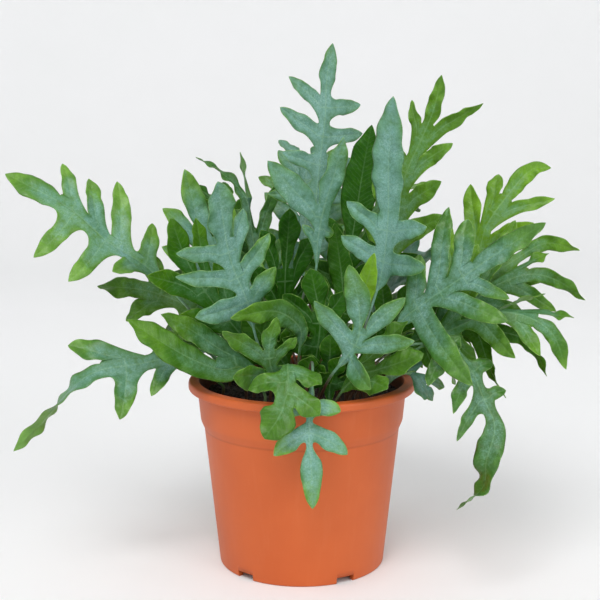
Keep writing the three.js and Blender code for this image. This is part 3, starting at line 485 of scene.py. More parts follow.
def lobe_line(root, tip, along):
    """The axis of a lobe: a quadratic curve that bows back and up a little on its way."""
    length = np.linalg.norm(tip - root)
    bend = (root + tip) / 2 - along * BOW_BACK * length + np.array([0, 0, BOW_UP * length])
    w = np.linspace(0, 1, 40)[:, None]
    return Line(root * (1 - w) ** 2 + 2 * bend * w * (1 - w) + tip * w**2)


# ---------------------------------------------------------------- the layout of a frond


def seen(place):
    """The point at a given depth on the line of sight through a place of the upright plane."""
    u, height, depth = place
    share = (depth - EYE[1]) / -EYE[1]
    return np.array([
        EYE[0] + (u - EYE[0]) * share, depth, EYE[2] + (height - EYE[2]) * share])


def laid_out(row):
    """A frond of the front, with each place turned into a point."""
    lobes = {side: [dict(zip(("width", "twist"), place[3:]), tip=seen(place[:3]))
                    for place in row[side]] for side in ("left", "right")}
    return {**row, "rib": np.array([seen(place) for place in row["rib"]]), **lobes}


def far_frond(row, index):
    """A frond of the far side, by rule: it rises, leans out along its heading and droops."""
    name, heading, start, reach, peak, tip, pairs, lobe, sway = row
    angle = math.radians(heading)
    out = np.array([math.sin(angle), -math.cos(angle), 0])
    level = np.cross([0, 0, 1], out)

    def spot(share, height):
        point = out * (start + (reach - start) * share) + level * FAR_SWAY * sway * share * (1 - share)
        point[2] = height
        return point

    droop_at, droop_left = FAR_DROOP
    rib = [spot(share, SOIL_TOP + (peak - SOIL_TOP) * rise) for share, rise in FAR_RISE]
    rib += [spot(droop_at, tip + (peak - tip) * droop_left), spot(1, tip)]
    foot = (out * start)[:2]
    line = rib_line(foot, np.array(rib))

    def lobes(side):
        found = []
        for k in range(pairs):
            s = FAR_BLADE[0] + (FAR_BLADE[1] - FAR_BLADE[0]) * (k + 0.5) / pairs
            along = line.along(s)
            wide = unit(np.cross(along, np.array([0, 0, 1]) + out * FAR_TILT))
            rank = int(k / pairs * len(LOBE_LENGTHS))
            wobble = math.sin(7 * index + 3 * k + 2 * side)
            length = lobe * LOBE_LENGTHS[rank] * (1 + LENGTH_WOBBLE * wobble)
            lean = math.radians(LOBE_ANGLES[rank] + ANGLE_WOBBLE * wobble)
            end = line.at(s) + along * length * math.cos(lean)
            end = end + wide * side * length * math.sin(lean)
            end[2] += length * (FAR_LIFT[0] + FAR_LIFT[1] * math.cos(5 * index + 2 * k + side))
            width = FAR_WIDTHS[0] + (FAR_WIDTHS[1] - FAR_WIDTHS[0]) * k / pairs
            found.append(dict(tip=end, width=width))
        return found

    return dict(name=name, foot=foot, rib=np.array(rib), blade=FAR_BLADE, end=FAR_END,
                left=lobes(-1), right=lobes(1))


def lobe_shape(t, ruffle):
    """Half width over the length of a lobe, as a share of its widest: leaf-shaped.

    It widens evenly, by LOBE_FOOT + LOBE_GAIN t, and closes at the tip as 1 less a power of t,
    raised to a power under 1. A frond with strong waves has slightly more acute tips.
    """
    power, round_off = (calm + more * ruffle for calm, more in (TIP_POWER, TIP_ROUND))
    return LOBE_SCALE * np.maximum(0, 1 - t**power) ** round_off * (LOBE_FOOT + LOBE_GAIN * t)


class Frond:
    """One frond's rib and lobes, and the directions of its blade at any share of the rib."""

    def __init__(self, row, index):
        self.name = row["name"]
        self.line = rib_line(row["foot"], row["rib"])
        self.start, self.last = row["blade"]
        self.end, self.turn = row["end"], math.radians(row.get("turn", 0))
        self.wing = row.get("wing", WING)
        self.slot = SLOT_OF[self.name]
        self.tone, self.depth, self.ruffle = LOOKS.get(self.name, SLOT_LOOKS[self.slot])
        self.random = np.random.default_rng([SEED, index])
        self.lobes = {-1: self.lobes_of(row["left"], -1), 1: self.lobes_of(row["right"], 1)}
        both = self.lobes[-1] + self.lobes[1]
        face = sum((lobe["up"] for lobe in both), np.zeros(3))
        self.face = unit(face) if both else unit(PLAIN_FACE)
        self.axes = [lobe["line"].at(np.linspace(0, 1, AXIS_POINTS)[1:]) for lobe in both]
        self.rib_points = self.line.at(np.linspace(0, 1, RIB_POINTS))

    def wing_at(self, s):
        """Half the strip's width, which changes evenly from the first lobes to the last."""
        share = np.clip((s - self.start) / (self.last - self.start), 0, 1)
        return self.wing[0] + (self.wing[1] - self.wing[0]) * share

    def lobes_of(self, places, side):
        """Each lobe grows from the middle of its own stretch of the rib."""
        lobes = []
        for k, place in enumerate(places):
            step = (self.last - self.start) / len(places)
            s = self.start + (k + 0.5) * step
            root, along = self.line.at(s), self.line.along(s)
            out = across(place["tip"] - root, along)
            first = self.wing_at(s) / np.dot(place["tip"] - root, out)
            lobes.append(dict(
                first=min(first, FIRST_MOST), s=s, back=s - step / 2, front=s + step / 2,
                line=lobe_line(root, place["tip"], along), up=np.cross(out, along) * side,
                width=place["width"], twist=math.radians(place.get("twist", 0)), out=out, side=side))
        return lobes

    def carried(self, s):
        """The way the upper face looks, carried along the rib from the nearest lobes."""
        edge = np.clip(s, self.start, self.last)
        up = across(self.face, self.line.along(edge))
        for share in np.arange(1, CARRY_STEPS + 1) / CARRY_STEPS:
            up = across(up, self.line.along(edge + (s - edge) * share))
        return up

    def side_at(self, s, side):
        """Sideways out of the rib, in the blade's plane, for rows of shares s."""
        s = np.atleast_1d(s)
        along = self.line.along(s)
        out = unit(np.cross(along, self.carried(s)))
        past = np.maximum(s - self.last, 0) / (1 - self.last)
        out = turned(out, along, self.turn * past) * side
        for lobe in self.lobes[side]:
            for edge in (lobe["back"], lobe["front"]):
                inner = self.start + NEAR < edge < self.last - NEAR
                here = np.abs(s - edge) < NEAR
                if inner and here.any():
                    near = [o["out"] for o in self.lobes[side]
                            if o["back"] - NEAR <= edge <= o["front"] + NEAR]
                    out[here] = across(sum(near), along[here])
        return out

    def room(self, centre, outward, own=None):
        """How far the blade may reach before it comes too near another lobe's middle line.

        That is ROOM_SHARE of the squared distance to a point of that line, over the part of the
        distance that lies in the blade's own direction. The least of them counts.
        """
        others = [axis for k, axis in enumerate(self.axes) if k != own]
        if own is not None:
            others.append(self.rib_points)
        if not others:
            return np.full(len(centre), np.inf)
        away = np.vstack(others)[None] - centre[:, None]
        facing = np.sum(away * outward[:, None], axis=-1)
        near = ROOM_SHARE * np.sum(away**2, axis=-1) / np.where(facing > 0, facing, np.nan)
        return np.nanmin(np.where(facing > 0, near, np.inf), axis=1)


def eased(values, times=3):
    """Values along a row with their corners rounded, ends kept."""
    for _ in range(times):
        inner = (values[:-2] + 2 * values[1:-1] + values[2:]) / 4
        values = np.concatenate([values[:1], inner, values[-1:]])
    return values


# ---------------------------------------------------------------- meshes from grids


def triangles(rows, columns, flip=False):
    """Two triangles for each cell of a grid of points, row by row."""
    corner = (np.arange(rows - 1)[:, None] * columns + np.arange(columns - 1)).ravel()
    a, b, c, d = corner, corner + columns, corner + columns + 1, corner + 1
    if flip:
        b, d = d, b
    return np.concatenate([np.stack([a, b, c], 1), np.stack([a, c, d], 1)])


class Sheet:
    """Grids of points that are joined where they share places, with values at each point."""

    VALUES = ("rim", "vein", "reach", "tipward", "stalk", "tone")

    def __init__(self):
        self.points, self.faces, self.values, self.count = [], [], [], 0

    def add(self, points, flip=False, **values):
        rows, columns = points.shape[:2]
        self.points.append(points.reshape(-1, 3))
        self.faces.append(triangles(rows, columns, flip) + self.count)
        self.values.append(np.stack([
            np.broadcast_to(values.get(name, 0.0), (rows, columns)).ravel()
            for name in self.VALUES], axis=1))
        self.count += rows * columns

    def joined(self):
        """Points, faces and values after points at one place have become one."""
        points, values = np.vstack(self.points), np.vstack(self.values)
        _, first, number = np.unique(
            np.round(points * 1e4).astype(np.int64), axis=0, return_index=True, return_inverse=True)
        faces = number.reshape(-1)[np.vstack(self.faces)]
        whole = (faces[:, 0] != faces[:, 1]) & (faces[:, 1] != faces[:, 2]) & (
            faces[:, 2] != faces[:, 0])
        return points[first], faces[whole], values[first]


def vertex_normals(points, faces):
    """The direction of each point: the sum of its triangles' normals, weighted by their areas."""
    a, b, c = points[faces].transpose(1, 0, 2)
    normal = np.cross(b - a, c - a)
    total = np.zeros_like(points)
    for corner in faces.T:
        np.add.at(total, corner, normal)
    return unit(total)


def thickened(points, faces, values, half):
    """A closed leaf from its middle surface.

    Every point moves out by half its thickness along its normal, once to each side. Points on
    the open edge stay single, so that both faces meet there.
    """
    normal = vertex_normals(points, faces)
    edges = np.sort(np.concatenate([faces[:, [0, 1]], faces[:, [1, 2]], faces[:, [2, 0]]]), axis=1)
    kinds, times = np.unique(edges, axis=0, return_counts=True)
    rim = np.zeros(len(points), bool)
    rim[kinds[times == 1].ravel()] = True
    lower = np.where(rim, np.arange(len(points)), 0)
    lower[~rim] = len(points) + np.arange((~rim).sum())
    move = normal * np.where(rim, 0, half)[:, None]
    both = np.vstack([points + move, (points - move)[~rim]])
    under = np.concatenate([np.zeros(len(points)), np.ones((~rim).sum())])
    return both, np.vstack([faces, lower[faces][:, ::-1]]), np.vstack([values, values[~rim]]), under


# ---------------------------------------------------------------- a frond's surfaces


def strip_grid(frond, lobe, edges):
    """The strip between the rib and a lobe: out from the rib by q, back to front by v."""
    v = LOBE_COLUMNS
    edge = np.where(v < 0, lobe["back"], lobe["front"])
    s = lobe["s"] + (edge - lobe["s"]) * np.abs(v)
    sinus = np.where(v[:, None] < 0, edges[0], edges[1])
    way = unit(lobe["out"] * (1 - v**2)[:, None] + sinus * (v**2)[:, None])
    way = across(way, frond.line.along(s))
    return frond.line.at(s) + way * frond.wing_at(s)[:, None] * WING_ROWS[:, None, None]


def crowded(rows, share):
    """Steps from 0 to 1 that lie closer at both ends: even ones mixed with half a cosine wave."""
    even = np.linspace(0, 1, rows)
    return (1 - share) * even + share * (0.5 - 0.5 * np.cos(math.pi * even))


def waver(form, frond, along):
    """How a margin wavers along its length: a slow sine, and a fast one of FAST_SHARE its size."""
    waves = []
    for pitches in (form["slow"], form["fast"]):
        pitch = frond.random.uniform(*pitches)
        waves.append(np.sin(along * TURN / pitch + frond.random.uniform(*PHASES)))
    return (form["waver"] + WAVER_MORE * frond.ruffle) * (waves[0] + FAST_SHARE * waves[1])


def relief(form, frond, half, q, reach, fold, wave, pitch, swell):
    """The height of a blade over its flat, at q from its midvein (0) to its margin (1).

    It rises evenly by the fold, droops as q squared, waves along the margin as a sine whose
    height is a power of q, ripples there with a shorter one, and buckles between the side veins
    as a sine that runs slanting outwards, strongest where swell is 1.
    """
    low, high, more = form["margin"]
    ripple, buckle = (form[key][0] + form[key][1] * frond.ruffle for key in ("ripple", "buckle"))
    height = half * q * math.tan(fold) - frond.random.uniform(*form["droop"]) * half * q**2
    margin = frond.random.uniform(low, high + more * frond.ruffle) * q ** form["hug"]
    height = height + margin * np.sin(reach * TURN / pitch + wave)
    height = height + ripple * q**2 * np.sin(reach * TURN / (RIPPLE_PITCH * pitch) + 2 * wave)
    return height + buckle * swell * np.sin(
        reach * TURN / form["buckle_pitch"] - BUCKLE_SLANT * q + wave)


def lobe_grid(frond, lobe, own, edge_row):
    """A lobe: from the outer edge of its strip to its tip, back to front by v.

    Past the strip's edge each row goes over into a straight row across the lobe's axis, as the
    first quarter of a sine, which rounds the notch between two lobes. Its half width follows
    lobe_shape, gives way to its neighbours and wavers. The blade has the heights of relief and
    a furrow along the midvein, a bell curve in section; the tip bends up or down.
    """
    line, random = lobe["line"], frond.random
    f = crowded(LOBE_ROWS, LOBE_CROWDING)
    t = lobe["first"] + (1 - lobe["first"]) * f
    centre, heading = line.at(t), line.along(t, 0.02)
    up = turned(across(lobe["up"], heading), heading, lobe["twist"] * f)
    wide = np.cross(heading, up) * -lobe["side"]
    full = lobe["width"] / 2 * lobe_shape(f, frond.ruffle)
    along = f * line.length * (1 - lobe["first"])
    v = LOBE_COLUMNS
    half = []
    for sign in (-1, 1):
        free = frond.room(centre, wide * sign, own)
        wavy = full * (1 + waver(LOBE_FORM, frond, along) * ramp(f, *WAVER_RUN))
        half.append(eased(np.minimum(wavy, np.maximum(free, STALK_RADIUS))))
    half = np.where(v < 0, half[0][:, None], half[1][:, None])
    turn = np.sin(math.pi / 2 * np.clip(f / SINUS_RUN, 0, 1))[:, None]
    flat = centre[:, None] + wide[:, None] * (half * v)[..., None]
    points = edge_row * (1 - turn[..., None]) + flat * turn[..., None]
    span = np.linalg.norm(edge_row[-1] - edge_row[0]) / 2
    reach = along[:, None]
    grown = ramp(f, 0, GROWN)[:, None] * np.minimum(1, half / NARROW)
    fold = math.radians(random.uniform(*LOBE_FORM["fold"]))
    wave = np.where(v < 0, random.uniform(*PHASES), random.uniform(*PHASES))
    pitch = random.uniform(*LOBE_FORM["pitch"])
    height = relief(
        LOBE_FORM, frond, half, np.abs(v), reach, fold, wave, pitch, np.cos(v * math.pi / 2))
    furrow = GROOVE_DEPTH * np.exp(-((half * v / GROOVE_WIDTH) ** 2))
    height = height * grown - furrow * ramp(f, 0, GROOVE_RUN)[:, None]
    tip_bend = random.uniform(*TIP_BEND) * line.length * (ramp(f, *BEND_RUN) * f)[:, None]
    points = points + up[:, None] * (height + tip_bend)[..., None]
    shown = span * (1 - turn) + half * turn
    values = dict(
        rim=(1 - np.abs(v)) * shown, vein=np.abs(v) * shown, reach=reach + 0 * v,
        tipward=f[:, None] + 0 * v)
    return points, values


def end_grid(frond, side):
    """Half of the end lobe: out from the rib by q, from the last lobe to the tip.

    It widens from the strip's width into lobe_shape, gives way to the lobes beside it, wavers,
    and has the heights of relief.
    """
    random = frond.random
    t = crowded(END_ROWS, END_CROWDING)
    s = frond.last + (1 - frond.last) * t
    centre, heading = frond.line.at(s), frond.line.along(s)
    way = frond.side_at(s, side)
    up = np.cross(way, heading) * side
    along = frond.line.length * (1 - frond.last) * t
    grown = ramp(t, 0, GROWN)
    wing = frond.wing[1]
    full = wing + (frond.end / 2 * lobe_shape(t, frond.ruffle) - wing) * grown
    wavy = np.maximum(full, 0) * (1 + waver(END_FORM, frond, along) * grown)
    half = eased(np.minimum(wavy, np.maximum(frond.room(centre, way), STALK_RADIUS)))
    half[0], half[-1] = wing, 0
    q = WING_ROWS[:, None]
    points = centre + way * (q * half)[..., None]
    fold = math.radians(random.uniform(*END_FORM["fold"]))
    wave, pitch = random.uniform(*PHASES), random.uniform(*END_FORM["pitch"])
    height = relief(END_FORM, frond, half, q, along, fold, wave, pitch, np.sin(math.pi * q))
    points = points + up * (height * grown * np.minimum(1, half / NARROW))[..., None]
    values = dict(rim=(1 - q) * half, vein=q * half, reach=along + 0 * q, tipward=t + 0 * q)
    return points, values


def base_grid(frond, side):
    """Where the blade runs out down the stalk: its width grows as an S-shaped ramp."""
    run = BASE_RUN / frond.line.length
    s = frond.start - run * (1 - np.linspace(0, 1, BASE_ROWS))
    half = frond.wing[0] * ramp(s, frond.start - run, frond.start)
    half[-1] = frond.wing[0]
    way = frond.side_at(s, side)
    return frond.line.at(s) + way * (WING_ROWS[:, None] * half)[..., None], half


def bare_grid(frond, side):
    """The strip of a side that has no lobes, from the first lobe's place to the last's."""
    s = np.linspace(frond.start, frond.last, BARE_ROWS)
    way = frond.side_at(s, side)
    half = frond.wing_at(s)
    return frond.line.at(s) + way * (half * WING_ROWS[:, None])[..., None], half


def blade_of(frond):
    """The whole blade of a frond as one closed leaf, thickest along its midveins."""
    sheet = Sheet()
    own = 0
    q = WING_ROWS[:, None]
    for side in (-1, 1):
        flip = side < 0
        strips = [base_grid(frond, side)]
        if not frond.lobes[side]:
            strips.append(bare_grid(frond, side))
        for strip, half in strips:
            sheet.add(strip, flip, rim=(1 - q) * half, vein=q * half)
        for lobe in frond.lobes[side]:
            edges = frond.side_at(np.array([lobe["back"], lobe["front"]]), side)
            strip = strip_grid(frond, lobe, edges)
            points, values = lobe_grid(frond, lobe, own, strip[-1])
            tone = frond.random.normal(0, TONE_SPREAD["lobe"])
            span = values["rim"][0] + values["vein"][0]
            v = np.abs(LOBE_COLUMNS)
            from_rib = q * frond.wing_at(lobe["s"])
            sheet.add(
                strip, flip, rim=MARGIN_FAR + ((1 - v) * span - MARGIN_FAR) * q**2,
                vein=np.minimum(from_rib, v * span), tone=tone)
            sheet.add(points, flip, tone=tone, **values)
            own += 1
        points, values = end_grid(frond, side)
        sheet.add(points, flip, tone=frond.random.normal(0, TONE_SPREAD["end"]), **values)
    points, faces, values = sheet.joined()
    vein = values[:, Sheet.VALUES.index("vein")]
    tipward = values[:, Sheet.VALUES.index("tipward")]
    half = BLADE_THICK / 2 + VEIN_THICK / 2 * np.exp(-(vein**2)) * (1 - 0.7 * tipward)
    return thickened(points, faces, values, half)


def tube_of(frond):
    """The stalk and rib: an ellipse carried along the frond's line, closed at both ends.

    It is round and thickest in the compost, flattens where the blade begins, and thins to the
    tip of the frond.
    """
    heights = frond.line.points[:, 2]
    low = frond.line.share[np.argmax(heights > SOIL_TOP - FOOT_DEPTH / 2)]
    s = np.linspace(low, TUBE_LAST, TUBE_ROWS)
    past = s * frond.line.length - low * frond.line.length
    on_blade = ramp(s, frond.start + FLATTENS[0], frond.start + FLATTENS[1])
    thin = 1 - (1 - RIB_END) * np.clip((s - frond.start) / (1 - frond.start), 0, 1)
    round_part = STALK_RADIUS * (1 - STALK_TAPER * ramp(s, low, frond.start))
    round_part = round_part + FOOT_SWELL * np.exp(-past / SWELL_RUN)
    wide = round_part * (1 - on_blade) + RIB_WIDE * thin * on_blade
    high = round_part * (1 - on_blade) + RIB_HIGH * thin * on_blade
    along, up = frond.line.along(s), frond.carried(s)
    level = np.cross(along, up)
    angle = np.linspace(0, TURN, TUBE_SIDES + 1)
    ends = np.ones(len(s))
    ends[0] = ends[-1] = 0
    points = frond.line.at(s)[:, None] + level[:, None] * (
        (wide * ends)[:, None] * np.cos(angle))[..., None] + up[:, None] * (
        (high * ends)[:, None] * np.sin(angle))[..., None]
    sheet = Sheet()
    stalk = 1 - ramp(s, frond.start + GREENS[0], frond.start + GREENS[1])
    sheet.add(points, rim=MARGIN_FAR, vein=0.25, stalk=stalk[:, None], reach=past[:, None])
    points, faces, values = sheet.joined()
    return points, faces, values, np.zeros(len(points))


def outward(points, faces):
    """The faces of a closed shell, turned over where they look inwards."""
    a, b, c = points[faces].transpose(1, 0, 2)
    volume = np.sum(a * np.cross(b, c))
    return faces if volume > 0 else faces[:, ::-1]


def make_piece(name, points, faces, material, values=None):
    """A mesh object at the origin from points in millimetres, with a value for each point."""
    mesh = bpy.data.meshes.new(name)
    mesh.from_pydata(points * MM, [], faces)
    mesh.polygons.foreach_set("use_smooth", np.ones(len(mesh.polygons), bool))
    for key, column in (values or {}).items():
        attribute = mesh.attributes.new(key, "FLOAT", "POINT")
        attribute.data.foreach_set("value", np.ascontiguousarray(column, np.float32))
    mesh.materials.append(material)
    mesh.update()
    piece = bpy.data.objects.new(name, mesh)
    bpy.context.scene.collection.objects.link(piece)
    return piece


def make_frond(row, index, finishes):
    """One piece from a frond's blade and its stalk and rib, in place of its CAD node."""
    frond = Frond(row, index)
    blade, tube = blade_of(frond), tube_of(frond)
    points = np.vstack([blade[0], tube[0]])
    faces = np.vstack([outward(*blade[:2]), outward(*tube[:2]) + len(blade[0])])
    values = np.vstack([blade[2], tube[2]])
    named = {key: values[:, k] for k, key in enumerate(Sheet.VALUES)}
    named["under"] = np.concatenate([blade[3], tube[3]])
    own_tone = frond.tone + frond.random.normal(0, TONE_SPREAD["frond"])
    named["tone"] = np.clip(own_tone + named["tone"], 0, 1)
    named["depth"] = np.full(len(points), frond.depth)
    piece = make_piece("leaf_" + frond.name, points, faces, finishes[frond.slot], named)
    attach(piece, BODY)
    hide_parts(frond.name)


# ---------------------------------------------------------------- the pot

RIM_RADIUS, POT_HEIGHT, LIP_DEPTH = 95, 157, 7
COLLAR_TOP, COLLAR_FOOT, COLLAR_FOOT_HEIGHT = 87.5, 85, 124
STEP_RADIUS, STEP_HEIGHT = 82, 117
FOOT_RADIUS, FOOT_RING, FOOT_EDGE = 70, 5, 1.4
PAD_RADIUS = 19.5  # of the pad that the middle of the pot stands on
WALL, FLOOR_UNDER, FLOOR_TOP, FLOOR_ROUND = 1.8, 3, 5, 2
NOTCHES, NOTCH_FIRST, NOTCH_WIDTH, NOTCH_HEIGHT = 5, -41.5, 16, 5.5
DRAINS, DRAIN_FIRST, DRAIN_RADIUS, DRAIN_RING = 5, 0, 4, 42
POT_SECTORS, POT_LONGEST = 240, 9  # cells round the pot, and the longest cell up its wall
INNER_SHADE_RADIUS, INNER_SHADE_FOOT = 86.1, 138.5  # painted shade inside the wall lies nearer the axis and higher than these
INNER_SHADE_TOP, INNER_SHADE_FADE, INNER_SHADE_RAGGED = 157, 9, 16
STEP_SHADE_REACH = 1.6  # how far the painted shade reaches from the corner under the band


def rounded(corners, steps=5):
    """An open outline whose corners have become arcs.

    Each corner is (radius, height, rounding). The arc is the quadratic curve that leaves the
    outline at that distance before the corner and joins it again as far after.
    """
    corners = np.array(corners, float)
    places, radii = corners[:, :2], corners[:, 2]
    before = unit(places[:-2] - places[1:-1])
    after = unit(places[2:] - places[1:-1])
    reach = radii[1:-1, None]
    w = np.linspace(0, 1, steps)[None, :, None]
    a, b, c = (places[1:-1] + before * reach)[:, None], places[1:-1][:, None], (
        places[1:-1] + after * reach)[:, None]
    arcs = a * (1 - w) ** 2 + 2 * b * w * (1 - w) + c * w**2
    return np.vstack([places[:1], arcs.reshape(-1, 2), places[-1:]])


def filled(outline, longest):
    """The outline with extra points, so that no stretch of it is longer than that."""
    gaps = np.linalg.norm(np.diff(outline, axis=0), axis=1)
    length = np.concatenate([[0], np.cumsum(gaps)])
    parts = [np.linspace(a, b, max(2, int(math.ceil((b - a) / longest)) + 1))[:-1]
             for a, b in zip(length[:-1], length[1:]) if b > a]
    places = np.concatenate([*parts, length[-1:]])
    return np.stack([np.interp(places, length, outline[:, k]) for k in range(2)], axis=1)


def lathe(outline, sectors):
    """The outline of (radius, height) turned once round the upright axis."""
    angle = np.linspace(0, TURN, sectors + 1)
    radius, height = outline[:, 0][:, None], outline[:, 1][:, None]
    points = np.stack([radius * np.sin(angle), -radius * np.cos(angle), height + 0 * angle], axis=-1)
    sheet = Sheet()
    sheet.add(points)
    points, faces, _ = sheet.joined()
    return points, outward(points, faces)


def block(width, depth, height, angle, distance):
    """A box standing on its middle, at that distance in front of the axis, turned by angle."""
    x, y, z = np.meshgrid([-0.5, 0.5], [-0.5, 0.5], [-0.5, 0.5], indexing="ij")
    points = np.stack([x * width, y * depth - distance, z * height], axis=-1).reshape(-1, 3)
    points = turned(points, np.array([0, 0, 1.0]), angle)
    faces = np.array([
        [0, 1, 3, 2], [4, 6, 7, 5], [0, 4, 5, 1], [2, 3, 7, 6], [0, 2, 6, 4], [1, 5, 7, 3]])
    return points, faces


def drill(radius, height, angle, distance, sides=28):
    """A round bar through the floor, as the hole's shape."""
    turn = np.linspace(0, TURN, sides, endpoint=False)
    ring = np.stack([radius * np.cos(turn), radius * np.sin(turn) - distance], axis=1)
    points = np.vstack([np.column_stack([ring, np.full(sides, z)]) for z in (-height, height)])
    points = turned(points, np.array([0, 0, 1.0]), angle)
    k = np.arange(sides)
    after = (k + 1) % sides
    walls = [list(face) for face in np.stack([k, after, after + sides, k + sides], axis=1)]
    return points, [list(k[::-1]), list(k + sides), *walls]


def cut(piece, cutters):
    """Takes the cutters out of a piece and keeps the result as its mesh."""
    points, faces, count = [], [], 0
    for places, sides in cutters:
        points.append(places)
        faces += [[int(corner) + count for corner in side] for side in sides]
        count += len(places)
    mesh = bpy.data.meshes.new("cutters")
    mesh.from_pydata(np.vstack(points) * MM, [], faces)
    tool = bpy.data.objects.new("cutters", mesh)
    bpy.context.scene.collection.objects.link(tool)
    boolean = piece.modifiers.new("openings", "BOOLEAN")
    boolean.operation, boolean.object, boolean.solver = "DIFFERENCE", tool, "EXACT"
    shape = bpy.data.meshes.new_from_object(
        piece.evaluated_get(bpy.context.evaluated_depsgraph_get()))
    piece.modifiers.clear()
    piece.data = shape
    bpy.data.objects.remove(tool)
    bpy.data.meshes.remove(mesh)


def pot_outline():
    """Half of the pot's section, from the middle of its underside round to the middle inside."""
    under = POT_HEIGHT - LIP_DEPTH
    ring = FOOT_RADIUS - FOOT_RING
    inner = COLLAR_TOP - WALL
    return rounded([
        (0, 0, 0), (PAD_RADIUS, 0, 0.5), (PAD_RADIUS + FOOT_EDGE, FLOOR_UNDER, 0.5),
        (ring - FOOT_EDGE, FLOOR_UNDER, 0.5), (ring, 0, 0.6),
        (FOOT_RADIUS - 0.4, 0, 1.6),
        (STEP_RADIUS, STEP_HEIGHT, 1.2), (COLLAR_FOOT, COLLAR_FOOT_HEIGHT, 1.6),
        (COLLAR_TOP, under, 0.5), (RIM_RADIUS, under, 1.9),
        (RIM_RADIUS, POT_HEIGHT, 2.6), (inner, POT_HEIGHT, 1.5),
        (COLLAR_FOOT - WALL, COLLAR_FOOT_HEIGHT, 1.6), (STEP_RADIUS - WALL, STEP_HEIGHT, 1.2),
        (FOOT_RADIUS - WALL, FLOOR_TOP, FLOOR_ROUND), (0, FLOOR_TOP, 0)])


def make_pot(finishes):
    """The pot's section turned round its axis, with notches in its foot and drain holes."""
    points, faces = lathe(filled(pot_outline(), POT_LONGEST), POT_SECTORS)
    piece = make_piece("nursery_pot", points, faces, finishes["pot"])
    notches = [
        block(NOTCH_WIDTH, 3 * FOOT_RING, 2 * NOTCH_HEIGHT,
              math.radians(NOTCH_FIRST + k * 360 / NOTCHES), FOOT_RADIUS)
        for k in range(NOTCHES)]
    drains = [
        drill(DRAIN_RADIUS, 2 * FLOOR_TOP, math.radians(DRAIN_FIRST + k * 360 / DRAINS), DRAIN_RING)
        for k in range(DRAINS)]
    cut(piece, notches + drains)
    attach(piece, BODY)
    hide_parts("pot")


# ---------------------------------------------------------------- the compost

SOIL_GAP = 0.3  # between the compost and the wall
SOIL_BEVEL = (2.2, 2)  # at its foot: inwards and upwards
SOIL_RINGS, SOIL_SECTORS = 74, 200
SOIL_RELIEF = 1.6
SOIL_WAVES, LONGEST_WAVE, WAVE_STEP, WAVE_FALL = 22, 70, 0.9, 0.8
WAVES_HEIGHT = 55  # brings the sum of the waves to about 1
CRUMBS, CRUMB_RING = 1100, 0.985  # how many, and the share of the radius that they lie in
CRUMB_SIZES, CRUMB_SPREAD, CRUMB_SUNK = (0.7, 2.3), (0.6, 1.3), 0.25
CRUMB_STRETCH, CRUMB_DENTS = (0.55, 1.3), (0.75, 1.25)


def wall_inside(height):
    """The inner radius of the pot's wall at a height."""
    return np.interp(height, [FLOOR_TOP, STEP_HEIGHT, COLLAR_FOOT_HEIGHT, POT_HEIGHT], [
        FOOT_RADIUS - WALL, STEP_RADIUS - WALL, COLLAR_FOOT - WALL, COLLAR_TOP - WALL])


def soil_height(x, y):
    """How far the compost rises over its level: a sum of sine waves, each shorter and lower."""
    random = np.random.default_rng([SEED, 900])
    height = np.zeros_like(x)
    for k in range(SOIL_WAVES):
        pitch = LONGEST_WAVE / (1 + WAVE_STEP * k)
        angle, phase = random.uniform(*PHASES, 2)
        way = x * math.cos(angle) + y * math.sin(angle)
        height += np.sin(way * TURN / pitch + phase) * pitch**WAVE_FALL
    return height / WAVES_HEIGHT


def make_soil(finishes):
    """The compost as a closed body with a rough top, and crumbs pressed into it."""
    bottom, top = FLOOR_TOP + SOIL_GAP, SOIL_TOP
    outline = [[0, bottom], [wall_inside(bottom) - SOIL_GAP - SOIL_BEVEL[0], bottom]]
    outline += [[wall_inside(z) - SOIL_GAP, z]
                for z in (bottom + SOIL_BEVEL[1], STEP_HEIGHT, COLLAR_FOOT_HEIGHT)]
    edge = wall_inside(top) - SOIL_GAP
    outline += [[edge * share, top] for share in np.linspace(1, 0, SOIL_RINGS)]
    points, faces = lathe(np.array(outline), SOIL_SECTORS)
    on_top = points[:, 2] > top - 0.01
    rise = soil_height(points[on_top, 0], points[on_top, 1]) * SOIL_RELIEF
    points[on_top, 2] += rise
    soil = make_piece("compost", points, faces, finishes["soil"])
    random = np.random.default_rng([SEED, 901])
    radius = edge * CRUMB_RING * np.sqrt(random.uniform(0, 1, CRUMBS))
    angle = random.uniform(*PHASES, CRUMBS)
    x, y = radius * np.cos(angle), radius * np.sin(angle)
    size = random.uniform(*CRUMB_SIZES, CRUMBS) * random.uniform(*CRUMB_SPREAD, CRUMBS)
    ball, sides = crumb_shape()
    stretch = random.uniform(*CRUMB_STRETCH, (CRUMBS, 1, 3))
    spots = ball[None] * stretch * random.uniform(*CRUMB_DENTS, (CRUMBS, len(ball), 1))
    spots = spots * size[:, None, None]
    centre = np.stack([x, y, top + soil_height(x, y) * SOIL_RELIEF + size * CRUMB_SUNK], axis=1)
    spots = spots + centre[:, None]
    faces = sides[None] + np.arange(CRUMBS)[:, None, None] * len(ball)
    crumbs = make_piece("compost_crumbs", spots.reshape(-1, 3), faces.reshape(-1, 3), finishes["soil"])
    for piece in (soil, crumbs):
        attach(piece, BODY)
    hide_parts("soil")


